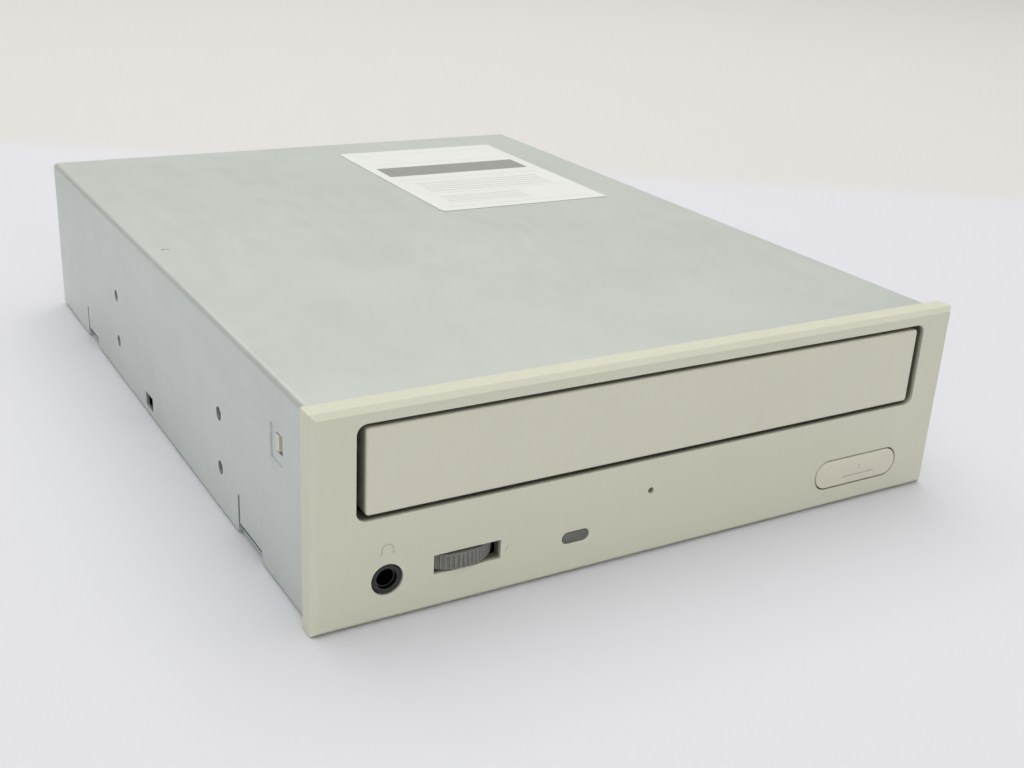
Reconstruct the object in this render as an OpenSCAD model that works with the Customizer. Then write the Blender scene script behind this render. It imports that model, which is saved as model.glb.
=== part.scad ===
// CD-ROM drive, half-height 5.25-inch, with a motor-driven tray.
// X is across the drive (right from the front), Y runs back and Z up. The sizes below count Y from the
// back plane of the bezel. The exported origin is the centre of the four bottom screw holes, at Z = 0.

/* [Case] */
// Width of the steel case
case_w = 146; // [145.6:0.2:147.4]
// Height of the steel case
case_h = 41.3; // [41:0.1:42.2]
// Length of the case behind the bezel
case_len = 190; // [188:0.5:200]
// Thickness of the steel sheet
sheet = 0.8; // [0.6:0.1:1]
// Outer radius of the folded top edges
bend_r = 1.4; // [1.2:0.1:2.4]
// Height of the top cover's lower edge over the bottom
cover_lift = 0.5; // [0.2:0.1:1]

/* [Mounting holes] */
// Distance from the bezel's back plane to the front screws
mount_front_y = 47.4; // [46.4:0.1:49]
// Distance between the front and rear screws
mount_pitch_y = 79.25; // [78.5:0.05:80.5]
// Distance of the bottom screws from the case's sides
mount_inset_x = 3.15; // [3.05:0.05:3.35]
// Height of the lower side screws
side_hole_z = 9.9; // [9.4:0.1:10.3]
// Distance between the lower and upper side screws
side_hole_rise = 11.94; // [11.6:0.02:12.2]
// Radius of the mounting holes
mount_hole_r = 1.5; // [1.3:0.05:1.6]

/* [Bezel] */
// Distance that the bezel stands out past each side of the case
bezel_side = 1.2; // [0.9:0.1:2]
// Distance that the bezel stands higher than the case
bezel_rise = 1; // [0.6:0.1:2]
// Depth of the bezel
bezel_t = 4.6; // [4.2:0.1:6]
// Thickness of the bezel's front plate
bezel_plate = 2.5; // [2:0.1:2.8]
// Chamfer of the bezel's front edges
bezel_chamfer = 1; // [0.4:0.1:1.4]
// Radius of the hole for the headphone plug
jack_hole_r = 3.1; // [2.9:0.05:3.4]
// Radius of the emergency release pinhole
pinhole_r = 0.65; // [0.5:0.05:0.9]

/* [Tray front] */
// Distance of the tray's front panel from the bezel's sides
panel_margin = 10; // [9.5:0.1:10.7]
// Height of the tray's front panel
panel_h = 16.5; // [15:0.1:16.8]
// Distance of the panel's middle below the top of the case
panel_drop = 11.15; // [10.9:0.05:11.4]
// Thickness of the tray's front panel
panel_t = 4; // [3:0.1:4.4]
// Gap between the panel and the bezel at the sides
panel_side_gap = 1.8; // [1.2:0.1:2.4]
// Gap between the panel and the bezel above and below
panel_rise_gap = 0.95; // [0.6:0.05:1.5]

/* [Front controls] */
// Distance of the headphone jack from the bezel's left side
jack_inset = 14.2; // [13.7:0.1:15.7]
// Height of the headphone jack
jack_z = 8.5; // [8.3:0.1:8.8]
// Radius of the volume wheel
wheel_r = 9; // [8.6:0.1:9.2]
// Thickness of the volume wheel
wheel_t = 3; // [2.4:0.1:3.2]
// Distance from the headphone jack to the volume wheel
wheel_step = 15.1; // [14.8:0.1:16]
// Length of the eject button
button_w = 23; // [18:0.5:25]
// Height of the eject button
button_h = 6.3; // [5.6:0.1:6.6]
// Distance of the eject button's middle from the bezel's right side
button_inset = 22; // [21.2:0.1:24.2]
// Travel of the eject button
button_travel = 1.2; // [0.6:0.1:1.4]
// Length of the lamp window
lamp_w = 6; // [4:0.2:8]
// Distance from the volume wheel to the lamp window
lamp_step = 24.4; // [21:0.1:25.8]

/* [Disc tray] */
// Gap between the disc tray and the walls of the loading chassis
tray_side_gap = 4.4; // [4.2:0.1:4.6]
// Distance of the disc tray's end from the back of the case
tray_back_gap = 22; // [21.6:0.1:26]
// Width of the tray's rim beside the well for a full-size disc
tray_rim = 3; // [2.5:0.1:3.5]
// Radius of the well for a small disc
small_well_r = 41; // [40.5:0.1:42]
// Half width of the slot that the pickup looks through
tray_slot_r = 18; // [17:0.1:20]
// Distance from the bezel to the disc's centre
spindle_y = 72; // [71.6:0.1:72.4]
// Travel of the tray
tray_travel = 137; // [120:1:140]

/* [Loading drive] */
// Module of the rack's teeth
rack_module = 1; // [0.9:0.05:1]
// Teeth of the drive pinion that moves the rack
pinion_teeth = 20; // [18:1:20]
// Module of the reduction teeth
wheel_module = 0.8; // [0.75:0.05:0.8]
// Teeth of the drive gear's wheel
wheel_teeth = 40; // [36:2:40]
// Teeth of the pinion on the pulley
pulley_teeth = 12; // [12:2:14]
// Radius of the driven pulley at the belt
pulley_r = 10; // [8:0.5:10.5]
// Radius of the motor pulley at the belt
motor_pulley_r = 3; // [2.4:0.1:3.6]
// Radius of the loading motor
motor_r = 12; // [10:0.5:12.5]
// Thickness of the round drive belt
belt_d = 1.2; // [0.8:0.1:1.4]

/* [Clamp] */
// Radius of the clamp puck's flange
puck_flange_r = 19; // [18.4:0.1:20]
// Radius of the clamp puck's body
puck_r = 15; // [13:0.1:15.5]
// Width of the clamp bridge along the drive
bridge_len = 40; // [39:0.5:44]

/* [Traverse] */
// Distance that the cam slider lowers the front of the traverse
cam_drop = 6.65; // [4.9:0.05:6.65]
// Travel of the cam slider
cam_travel = 14; // [12:0.5:14]
// Gap between the traverse frame and the sides of its bay
bay_gap = 3; // [2.5:0.1:3.5]
// Travel of the pickup sled
sled_travel = 34; // [30:0.5:34.5]
// Radius of the guide rods
rod_r = 1.5; // [1.2:0.1:1.6]
// Distance of the guide rods from the sides of the traverse frame
rod_inset = 25.5; // [25:0.1:26]
// Radius of the turntable
turntable_r = 15; // [13:0.1:15.5]
// Radius of the hub that centres the disc
hub_r = 7.3; // [7:0.05:7.4]

/* [Circuit board] */
// Distance of the circuit board from the sides of the case
board_inset = 11.5; // [11.3:0.1:12.5]
// Thickness of the circuit board
board_t = 1.6; // [1:0.1:1.6]
// Height of the board's underside
board_z = 3.2; // [3:0.1:3.2]

/* [Hidden] */
$fn = 48;

// Overrun of every cut past the face it opens
over = 0.5;
// Gap of loose fits, of sliding fits, and of shafts in their bores
loose = 0.3;
slip = 0.1;
shaft_gap = 0.05;
// Play between meshing teeth at the pitch line
tooth_play = 0.36;

// Middle of the mounting screws, and the distance across the bottom ones
mount_pitch_x = case_w - 2 * mount_inset_x;
mount_mid_y = mount_front_y + mount_pitch_y / 2;
mount_rows = [mount_front_y, mount_front_y + mount_pitch_y];
side_rows = [side_hole_z, side_hole_z + side_hole_rise];
mount_clear_r = mount_hole_r + 1.1;
mount_clear_depth = 9;

// Loading chassis, its walls and the bay in its deck
chassis_front_y = 1.5;
chassis_back_gap = 18;
chassis_back_y = case_len - chassis_back_gap;
chassis_gap = 1.8;
chassis_wall = 2;
chassis_low_z = 8;
chassis_out_x = case_w / 2 - sheet - chassis_gap;
chassis_in_x = chassis_out_x - chassis_wall;
deck_bay_inset = 10.9;
deck_bay_x = chassis_in_x - deck_bay_inset;
traverse_w = 2 * (deck_bay_x - bay_gap);
tray_w = 2 * (chassis_in_x - tray_side_gap);
tray_len = case_len - tray_back_gap;
disc_well_r = tray_w / 2 - tray_rim;
rod_x = traverse_w / 2 - rod_inset;
board_w = case_w - 2 * board_inset;

// Pivot of the traverse at the back
pivot_back_gap = 30;
pivot_y = case_len - pivot_back_gap;

// Bottom cover
cover_screw_inset = 7.5;
cover_screw_x = case_w / 2 - cover_screw_inset;
cover_screw_front_y = 22;
cover_screw_rows = [cover_screw_front_y, pivot_y];
screw_pad_r = 4.5;
screw_pad_h = 1.2;
screw_pocket_r = 3.3;
screw_hole_r = 1.7;
standoff_r = 3;
standoff_inset = 13.5;
standoff_x = board_w / 2 - standoff_inset;
standoff_front_y = 40;
standoff_back_gap = 16;
standoff_rows = [standoff_front_y, case_len - standoff_back_gap];
side_flange_h = 6;
side_flanges = [[60, 92], [108, 120], [134, 150]];
rear_wall_h = 27;
rear_flange_z = 24;
rear_cut_gap = 0.5;

// Cuts in the top cover's sides
slit_t = 1;
slit_top_z = 8.8;
slit_foot_z = 2.8;
slit_front = [23.6, 36];
slit_w = 9.5;
slit_back_gap = 31;
slit_rear = [case_len - slit_back_gap - slit_w, case_len - slit_back_gap];
side_window = [[97.5, 1.8], [103.4, 5.3]];
latch_recess = [[11.5, 25.5], [17.8, 32.4]];
latch_recess_depth = 0.3;
latch_window = [[12.1, 27.5], [15.3, 31.3]];
dimple_r = 1;
dimple_inset = 4.8;
dimple_place = [dimple_inset - case_w / 2, 97.3];
dimple_depth = 0.25;
pip_r = 0.9;
pip_rise = 0.3;
pip_place = [24.3, 9];

// Bezel, and the places of the panel and the controls in it
bezel_w = case_w + 2 * bezel_side;
bezel_h = case_h + bezel_rise;
panel_w = bezel_w - 2 * panel_margin;
panel_z = case_h - panel_drop;
jack_x = jack_inset - bezel_w / 2;
wheel_x = jack_x + wheel_step;
lamp_x = wheel_x + lamp_step;
button_x = bezel_w / 2 - button_inset;
rim_t = 2;
collar_t = 1.6;
recess_r = 2;
panel_r = 0.5;
opening_w = panel_w + 2 * panel_side_gap;
opening_h = panel_h + 2 * panel_rise_gap;
bezel_front_y = -bezel_t;
plate_back_y = bezel_front_y + bezel_plate;
latch_arm_t = 1.3;
latch_arm_len = 17;
latch_arm_z = [24.5, 33.5];
latch_inset = 0.2;
latch_hook_h = 0.6;
latch_hook_len = 1.2;
latch_notch_t = 0.6;
pinhole_step = 17.1;
pinhole_place = [lamp_x + pinhole_step, 14.2];
slot_left = 5.9;
slot_right = 7.9;
slot_span_x = [wheel_x - slot_left, wheel_x + slot_right];
slot_gap_z = 0.45;
wheel_z = 7.65;
wheel_proud = 1;
wheel_y = bezel_front_y - wheel_proud + wheel_r;
wheel_rib_count = 60;
wheel_rib_depth = 0.3;
button_z = 7.85;
button_gap = 0.3;
button_proud = 0.3;
button_flange = 0.7;
button_flange_t = 1;
button_stem_w = 4;
button_stem_h = 3;
lamp_h = 2.4;
lamp_z = 8;
lens_len = 7;

// Board and what stands on it
board_front_y = 1;
board_back_gap = 2.2;
board_top = board_z + board_t;
board_back_y = case_len - sheet - board_back_gap;
board_hole_r = 1.6;
board_motor_gap = 1.2;
jack_body_w = 7.6;
jack_body_h = 6.6;
jack_body_len = 12;
jack_nose_r = jack_hole_r - slip;
jack_bore_r = 1.75;
jack_bore_len = 14;
pot_w = 11;
pot_len = 9;
pot_shaft_r = 1.5;
switch_w = 6;
switch_len = 4;
switch_front_y = 5.4;
plunger_r = 1.25;
plunger_len = 4;
chip_h = 1.6;
cap_r = 2;
cap_h = 5.4;
// Each chip's middle as shares of the board's width and of its back edge, then its width and length
chip_shares = [[-0.163, 0.385], [0.179, 0.321], [0.203, 0.535], [-0.244, 0.588], [0.293, 0.717],
               [-0.276, 0.781], [0.163, 0.856], [-0.146, 0.845]];
chip_sizes = [[20, 20], [14, 14], [12, 18], [11, 20], [9, 6], [12, 8], [8, 5], [10, 5]];
cap_shares = [[0.467, 0.342], [0.467, 0.385], [-0.467, 0.492], [-0.467, 0.535], [0.467, 0.802],
              [-0.325, 0.872], [0.358, 0.882]];
// Rear connectors: power, data, jumpers, analogue and digital audio, each [left edge, width, height]
power_inset = 1.5;
data_inset = 28.5;
jumper_inset = 32.5;
audio_inset = 20.5;
digital_inset = 6.9;
power_row = [power_inset - board_w / 2, 21.4, 11];
data_row = [data_inset - board_w / 2, 58, 9];
jumper_row = [board_w / 2 - jumper_inset, 8.4, 5.4];
audio_row = [board_w / 2 - audio_inset, 11, 6];
digital_row = [board_w / 2 - digital_inset, 6, 6];
socket_len = 11;
socket_wall = 1.1;
socket_floor = 3;
socket_lift = 0.1;
pin_pitch = 2.54;
pin_t = 0.64;
pin_len = 8;
power_pitch = 5.08;
power_pin_r = 1.05;
socket_back_gap = 0.2;
socket_front_y = case_len - socket_len - socket_back_gap;
cap_block_h = 5;

// Ribbon cable on the board
ribbon_w = 14;
ribbon_t = 0.3;
ribbon_bend_r = 2.1;
ribbon_low_len = 34;
ribbon_high_len = 40;
ribbon_socket_gap = 32.8;
ribbon_turn_y = socket_front_y - ribbon_socket_gap;
ribbon_front_y = ribbon_turn_y - ribbon_low_len;
ribbon_end_y = ribbon_turn_y - ribbon_high_len;

// Deck, ledges and bosses of the loading chassis
deck_z = 11;
deck_t = 2;
deck_top = deck_z + deck_t;
deck_bay_front_y = 42.6;
deck_bay_back_gap = 3;
deck_bay_y = [deck_bay_front_y, pivot_y - deck_bay_back_gap];
deck_notch_gap = 1.9;
deck_notch_reach = 11.9;
deck_notch_x = [deck_notch_gap - chassis_in_x, wheel_x + deck_notch_reach];
deck_notch_back_y = 16;
foot_r = 3.2;
rail_gap = 0.3;
ledge_t = 1.4;
ledge_w = 6.4;
ledge_in_x = chassis_in_x - ledge_w;
upper_ledge_gap = 0.5;
bridge_boss_r = 2.8;
bridge_boss_inset = 3.4;
bridge_boss_x = chassis_in_x - bridge_boss_inset;
post_r = 2;
back_wall_h = 17;
ear_t = 3;
ear_gap = 1;
ear_r = 3.2;

// Disc tray, at its height behind the front panel
tray_floor_drop = 4.15;
tray_t = 5.5;
well_floor_t = 2.2;
small_floor_t = 1;
tray_rail_h = 2.2;
rack_h = 2.8;
tray_floor_z = panel_z - tray_floor_drop;
tray_top_z = tray_floor_z + tray_t;
well_floor_z = tray_floor_z + well_floor_t;
small_floor_z = tray_floor_z + small_floor_t;
tray_rail_z = tray_floor_z - tray_rail_h;
tray_rail_w = 4;
tray_front_y = bezel_front_y + panel_t;
rack_z = tray_floor_z - rack_h;
rack_back = 2.2;
rack_front_y = 14;
rack_end_gap = 4;
rack_span = [rack_front_y, tray_len - rack_end_gap];
chassis_rise = 4.5;
chassis_top_z = tray_top_z + chassis_rise;

// Loading drive
drive_y = 22;
rack_inset = 8;
rack_x = tray_w / 2 - rack_inset;
pinion_r = pinion_teeth * rack_module / 2;
drive_x = rack_x - pinion_r;
big_wheel_r = wheel_teeth * wheel_module / 2;
pulley_pinion_r = pulley_teeth * wheel_module / 2;
pulley_x = drive_x - big_wheel_r - pulley_pinion_r;
belt_span = 33.2;
motor_x = pulley_x - belt_span;
pulley_z = 16.2;
pulley_t = 2.6;
wheel_gear_z = 19.5;
wheel_gear_t = 2;
pinion_tray_gap = 0.4;
pinion_top_z = tray_floor_z - pinion_tray_gap;
groove_depth = 0.9;
belt_z = pulley_z + pulley_t / 2;
motor_low_z = 1.4;
motor_boss_r = 3.4;
motor_shaft_r = 1;
motor_flat = 10;

// Clamp
bridge_t = 1.2;
bridge_hole_r = 17;
puck_lift = 5.2;
puck_low_z = tray_floor_z + puck_lift;
puck_flange_t = 1.2;
puck_recess_r = 8;
puck_recess_h = 2;
magnet_r = 7;
magnet_t = 2.4;
clamp_screw_head_r = 2.4;
clamp_screw_head_h = 1.1;
clamp_screw_r = 1.2;

// Traverse and what it carries
pivot_z = 16.2;
pivot_pin_r = 1.5;
frame_z = [13.6, 18.8];
frame_front_y = 50;
frame_pivot_gap = 5;
frame_y = [frame_front_y, pivot_y - frame_pivot_gap];
frame_rail = 6;
arm_past = 3.2;
arm_end_y = pivot_y + arm_past;
cam_pin_inset = 24.5;
cam_pin_x = traverse_w / 2 - cam_pin_inset;
cam_y = [43.2, 45.8];
cam_pin_front_y = 42.9;
cam_past = 10;
cam_half_w = cam_pin_x + cam_past;
cam_foot_front_y = 34;
cam_foot_t = 1.5;
cam_slot_gap = 0.25;
cam_edge = 2.2;
cam_dwell = 1.2;
damper_front_gap = 7;
damper_back_gap = 8;
damper_rows = [frame_y[0] + damper_front_gap, frame_y[1] - damper_back_gap];
damper_inset = 3.1;
damper_x = traverse_w / 2 - damper_inset;
damper_r = 2.8;
damper_neck_r = 2;
damper_low_t = 1.2;
damper_top_t = 1;
damper_screw_head_h = 0.8;
damper_screw_r = 1;
base_z = frame_z[1] + damper_low_t;
base_t = 1.2;
base_top = base_z + base_t;
base_inset = 1;
base_half_w = traverse_w / 2 - base_inset;
base_front_gap = 3.5;
base_back_gap = 0.5;
base_y = [frame_y[0] + base_front_gap, frame_y[1] - base_back_gap];
sled_wing_past = 4;
sled_wing_x = rod_x + sled_wing_past;
base_window_side = 0.6;
base_window_x = sled_wing_x + base_window_side;
base_window_front_y = 87;
base_window_rim = 5.9;
base_window_y = [base_window_front_y, base_y[1] - base_window_rim];
lug_t = 2.4;
lug_w = 2.4;
rod_z = 18.2;
rod_front_past = 2.2;
rod_back_past = 2.4;
rod_y = [base_window_y[0] - rod_front_past, base_window_y[1] + rod_back_past];
spindle_can_r = 12;
spindle_can_z = 14.5;
spindle_boss_r = 4;
turntable_lift = 1.5;
turntable_z = tray_floor_z + turntable_lift;
spindle_boss_gap = 2.1;
spindle_boss_z = turntable_z - spindle_boss_gap;
spindle_shaft_r = 1;
turntable_t = 2;
pad_t = 0.3;
pad_in_r = 10.5;
hub_rise = 4.5;
hub_top_z = turntable_z + hub_rise;
sled_y = [88, 113.4];
sled_low_z = 13.5;
sled_wing_z = [15.6, 21.4];
sled_block_x = 15.5;
sled_block_z = 24;
lens_offset_y = 8.4;
lens_y = sled_y[0] + lens_offset_y;
holder_r = 5.7;
holder_z = [21.4, 26.4];
holder_pit_r = 6;
holder_pit_z = 20.4;
lens_r = 2.4;
lens_h = 0.9;
cover_cap_x = 12.5;
cover_cap_t = 1.6;
cover_cap_y = 11;
sled_gear_inset = 13.5;
sled_gear_x = traverse_w / 2 - sled_gear_inset;
sled_gear_y = 96;
sled_rack_module = 0.6;
sled_small_teeth = 16;
sled_wheel_module = 0.5;
sled_wheel_teeth = 40;
sled_pinion_teeth = 12;
sled_small_r = sled_small_teeth * sled_rack_module / 2;
sled_wheel_r = sled_wheel_teeth * sled_wheel_module / 2;
sled_pinion_r = sled_pinion_teeth * sled_wheel_module / 2;
sled_rack_x = sled_gear_x - sled_small_r;
sled_rack_z = [21.6, 22.9];
sled_rack_y = [56, 108];
sled_rack_lap = 1.6;
sled_rack_in_x = sled_wing_x - sled_rack_lap;
sled_wheel_z = [23.3, 24.3];
sled_motor_y = sled_gear_y - sled_wheel_r - sled_pinion_r;
sled_motor_r = 5.2;
sled_motor_z = 12.2;
sled_shaft_r = 0.75;
sled_post_r = 1.2;

// Fasteners and label
screw_head_r = 2.8;
screw_head_h = 1;
screw_shank_r = 1.4;
screw_len = 7;
cross_w = 0.7;
cross_len = 3;
cross_depth = 0.6;
label_size = [51, 70];
label_side_gap = 40.1;
label_back_gap = 48.8;
label_place = [case_w / 2 - label_side_gap, case_len - label_back_gap];
label_turn = -0.5;
label_t = 0.1;
label_r = 1;

// A box from its low corner to its high corner
module block(low, high) translate(low) cube(high - low);

// The children and their mirror image across the drive's middle plane
module both_sides() {
  children();
  mirror([1, 0, 0]) children();
}

// A plane shape in X and Z, carried from y0 back to y1
module along_y(y0, y1) translate([0, y1, 0]) rotate([90, 0, 0]) linear_extrude(y1 - y0) children();

// A plane shape in Y and Z, carried from x0 right to x1
module along_x(x0, x1) translate([x0, 0, 0]) rotate([90, 0, 90]) linear_extrude(x1 - x0) children();

// An upright cylinder between two heights
module post(x, y, r, z0, z1) translate([x, y, z0]) cylinder(r = r, h = z1 - z0);

// A centred rectangle with round corners
module round_rect(size, r) {
  square([size[0] - 2 * r, size[1]], center = true);
  square([size[0], size[1] - 2 * r], center = true);
  for (sx = [-1, 1], sy = [-1, 1])
    translate([sx * (size[0] / 2 - r), sy * (size[1] / 2 - r)]) circle(r);
}

// A centred rectangle with half-round ends
module pill(w, h) {
  square([w - h, h], center = true);
  for (side = [-1, 1]) translate([side * (w - h) / 2, 0]) circle(h / 2);
}

// A straight slot with round ends from point p to point q
module slot_between(p, q, r) {
  run = q - p;
  for (end = [p, q]) translate(end) circle(r);
  translate((p + q) / 2) rotate(atan2(run[1], run[0])) square([norm(run), 2 * r], center = true);
}

// Half thickness of a 20-degree tooth at height h over its pitch line
function tooth_half(m, h) = (PI * m / 2 - tooth_play * m) / 2 - h * tan(20);

// Outline of a spur gear; turn is the angle of its first tooth
function gear_outline(teeth, m, turn) = [
  for (i = [0:teeth - 1])
    for (p = [[-1.2, -1], [0.75, -1], [0.75, 1], [-1.2, 1]])
      let (radius = teeth * m / 2 + p[0] * m,
           side = p[1] * tooth_half(m, p[0] * m),
           angle = turn + i * 360 / teeth)
        [radius * cos(angle) - side * sin(angle), radius * sin(angle) + side * cos(angle)]
];

// A gear between two heights
module gear(teeth, m, turn, z0, z1)
  translate([0, 0, z0]) linear_extrude(z1 - z0) polygon(gear_outline(teeth, m, turn));

// Outline of one rack tooth that points along -X from a pitch line at x = 0
module rack_tooth(m) polygon([for (p = [[-1.2, -1], [0.75, -1], [0.75, 1], [-1.2, 1]])
  [-p[0] * m, p[1] * tooth_half(m, p[0] * m)]]);

// The cross recess of a screw head, sunk from z
module cross_recess(z, depth)
  for (turn = [0, 90]) rotate(turn)
    translate([-cross_len / 2, -cross_w / 2, z - depth]) cube([cross_len, cross_w, depth + over]);

// Everything is counted from the bezel's back plane and lands on the screw pattern's centre
module placed() translate([0, -mount_mid_y, 0]) children();

module sheet_outline(w, top, r) {
  translate([-w / 2, cover_lift]) square([w, top - r - cover_lift]);
  translate([r - w / 2, cover_lift]) square([w - 2 * r, top - cover_lift]);
  for (side = [-1, 1]) translate([side * (w / 2 - r), top - r]) circle(r);
}

module side_cuts() {
  x_in = case_w / 2 - sheet - over;
  x_out = case_w / 2 + over;
  for (y = mount_rows, z = side_rows)
    translate([x_in, y, z]) rotate([0, 90, 0]) cylinder(r = mount_hole_r, h = x_out - x_in);
  for (cut = [slit_front, slit_rear]) {
    block([x_in, cut[1], cover_lift - over], [x_out, cut[1] + slit_t, slit_top_z]);
    block([x_in, cut[0], cover_lift - over], [x_out, cut[1] + slit_t, slit_foot_z]);
  }
  block([x_in, side_window[0][0], side_window[0][1]], [x_out, side_window[1][0], side_window[1][1]]);
  block([x_in, latch_window[0][0], latch_window[0][1]], [x_out, latch_window[1][0], latch_window[1][1]]);
  block([case_w / 2 - latch_recess_depth, latch_recess[0][0], latch_recess[0][1]],
        [x_out, latch_recess[1][0], latch_recess[1][1]]);
}

module top_cover() color("#C7CDC6") placed() difference() {
  union() {
    along_y(0, case_len) difference() {
      sheet_outline(case_w, case_h, bend_r);
      translate([0, -over]) sheet_outline(case_w - 2 * sheet, case_h - sheet + over, bend_r - sheet);
      translate([-case_w / 2 + sheet, cover_lift - over]) square([case_w - 2 * sheet, 2 * over]);
    }
    both_sides() translate([case_w / 2 - sheet / 2, pip_place[0], pip_place[1]]) rotate([0, 90, 0])
      cylinder(r1 = pip_r + sheet / 2, r2 = pip_r - pip_rise, h = sheet / 2 + pip_rise);
    block([-case_w / 2 + bend_r, case_len - sheet, rear_flange_z],
          [case_w / 2 - bend_r, case_len, case_h - sheet / 2]);
  }
  both_sides() side_cuts();
  post(dimple_place[0], dimple_place[1], dimple_r, case_h - dimple_depth, case_h + over);
}

module bottom_cover() color("#AEB6B4") placed() {
  in_x = case_w / 2 - sheet - slip;
  wall_back = case_len - sheet - slip;
  difference() {
    union() {
      block([-in_x, 0, 0], [in_x, wall_back, sheet]);
      block([-in_x, wall_back - sheet, 0], [in_x, wall_back, rear_wall_h]);
      both_sides() {
        for (y = cover_screw_rows) post(cover_screw_x, y, screw_pad_r, 0, sheet + screw_pad_h);
        for (run = side_flanges) block([in_x - sheet, run[0], 0], [in_x, run[1], side_flange_h]);
        for (y = standoff_rows) post(standoff_x, y, standoff_r, 0, board_z);
      }
    }
    both_sides() {
      for (y = cover_screw_rows) {
        post(cover_screw_x, y, screw_pocket_r, -over, screw_pad_h);
        post(cover_screw_x, y, screw_hole_r, -over, sheet + screw_pad_h + over);
      }
      for (y = mount_rows) post(mount_pitch_x / 2, y, mount_hole_r, -over, sheet + over);
    }
    for (row = [power_row, data_row, jumper_row, audio_row, digital_row])
      block([row[0] - rear_cut_gap, wall_back - sheet - over, board_top - rear_cut_gap],
            [row[0] + row[1] + rear_cut_gap, wall_back + over, board_top + row[2] + rear_cut_gap]);
  }
}

// The bezel's solid outline with its chamfered front edges
module bezel_outline() intersection() {
  along_y(bezel_front_y, 0) translate([-bezel_w / 2, 0]) square([bezel_w, bezel_h]);
  along_x(-bezel_w / 2, bezel_w / 2) polygon([
    [bezel_front_y, bezel_chamfer], [bezel_front_y + bezel_chamfer, 0], [0, 0], [0, bezel_h],
    [bezel_front_y + bezel_chamfer, bezel_h], [bezel_front_y, bezel_h - bezel_chamfer]]);
  linear_extrude(bezel_h) polygon([
    [bezel_chamfer - bezel_w / 2, bezel_front_y], [bezel_w / 2 - bezel_chamfer, bezel_front_y],
    [bezel_w / 2, bezel_front_y + bezel_chamfer], [bezel_w / 2, 0],
    [-bezel_w / 2, 0], [-bezel_w / 2, bezel_front_y + bezel_chamfer]]);
}

// A springy arm behind the bezel, whose hook fills the rear of the case's latch window
module latch_arm() {
  out_x = case_w / 2 - sheet - latch_inset;
  hook_front_y = latch_window[1][0] - loose - latch_hook_len;
  difference() {
    block([out_x - latch_arm_t, plate_back_y - over, latch_arm_z[0]], [out_x, latch_arm_len, latch_arm_z[1]]);
    block([out_x - latch_notch_t, latch_window[0][0] - loose, latch_window[0][1] - loose],
          [out_x + over, hook_front_y, latch_window[1][1] + loose]);
  }
  block([out_x - latch_notch_t, hook_front_y, latch_window[0][1] + loose],
        [out_x + latch_inset + latch_hook_h, latch_window[1][0] - loose, latch_window[1][1] - loose]);
}

module front_bezel() color("#BFBBAB") placed() difference() {
  union() {
    difference() {
      bezel_outline();
      block([rim_t - bezel_w / 2, plate_back_y, rim_t], [bezel_w / 2 - rim_t, over, bezel_h - rim_t]);
    }
    translate([0, 0, panel_z]) along_y(plate_back_y - over, 0)
      round_rect([opening_w + 2 * collar_t, opening_h + 2 * collar_t], recess_r + collar_t);
    both_sides() latch_arm();
  }
  translate([0, 0, panel_z]) along_y(bezel_front_y - over, over)
    round_rect([opening_w, opening_h], recess_r);
  translate([jack_x, 0, jack_z]) along_y(bezel_front_y - over, plate_back_y + over) circle(jack_hole_r);
  translate([pinhole_place[0], 0, pinhole_place[1]])
    along_y(bezel_front_y - over, plate_back_y + over) circle(pinhole_r);
  block([slot_span_x[0], bezel_front_y - over, wheel_z - slot_gap_z],
        [slot_span_x[1], plate_back_y + over, wheel_z + wheel_t + slot_gap_z]);
  post(wheel_x, wheel_y, wheel_r + loose, wheel_z - slot_gap_z, wheel_z + wheel_t + slot_gap_z);
  translate([lamp_x, 0, lamp_z])
    along_y(bezel_front_y - over, plate_back_y + over) pill(lamp_w + slip, lamp_h + slip);
  translate([button_x, 0, button_z]) along_y(bezel_front_y - over, plate_back_y + over)
    pill(button_w + 2 * button_gap, button_h + 2 * button_gap);
}

module tray_front_panel() color("#C1BDAD") placed() translate([0, 0, panel_z])
  along_y(bezel_front_y, tray_front_y) round_rect([panel_w, panel_h], panel_r);

// The rack under the tray: its gaps line up with the drive pinion's tooth
module tray_rack() {
  pitch = PI * rack_module;
  block([rack_x + 1.2 * rack_module, rack_span[0], rack_z],
        [rack_x + 1.2 * rack_module + rack_back, rack_span[1], tray_floor_z + over]);
  for (i = [ceil((rack_span[0] - drive_y) / pitch):floor((rack_span[1] - drive_y) / pitch) - 1])
    translate([rack_x, drive_y + (i + 0.5) * pitch, rack_z])
      linear_extrude(tray_floor_z - rack_z + over) rack_tooth(rack_module);
}

module disc_tray() color("#35363A") placed() union() {
  difference() {
    union() {
      block([-tray_w / 2, tray_front_y, tray_floor_z], [tray_w / 2, tray_len, tray_top_z]);
      both_sides() block([tray_w / 2 - tray_rail_w, tray_front_y + panel_t, tray_rail_z],
                         [tray_w / 2, tray_len, tray_top_z]);
    }
    post(0, spindle_y, disc_well_r, well_floor_z, tray_top_z + over);
    post(0, spindle_y, small_well_r, small_floor_z, tray_top_z + over);
    post(0, spindle_y, tray_slot_r, tray_floor_z - over, tray_top_z + over);
    block([-tray_slot_r, spindle_y, tray_floor_z - over], [tray_slot_r, tray_len + over, tray_top_z + over]);
  }
  tray_rack();
}

module eject_button() color("#C4C0B0") placed() translate([button_x, 0, button_z]) {
  back_y = plate_back_y + slip + button_flange_t;
  along_y(bezel_front_y - button_proud, back_y) pill(button_w, button_h);
  along_y(plate_back_y + slip, plate_back_y + slip + button_flange_t)
    pill(button_w + 2 * button_flange, button_h + 2 * button_flange);
  along_y(back_y - over, switch_front_y - plunger_len / 2)
    square([button_stem_w, button_stem_h], center = true);
}

module eject_plunger() color("#E8E4D8") placed() translate([button_x, 0, button_z])
  along_y(switch_front_y - plunger_len / 2, switch_front_y + plunger_len / 2 - slip) circle(plunger_r);

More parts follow.
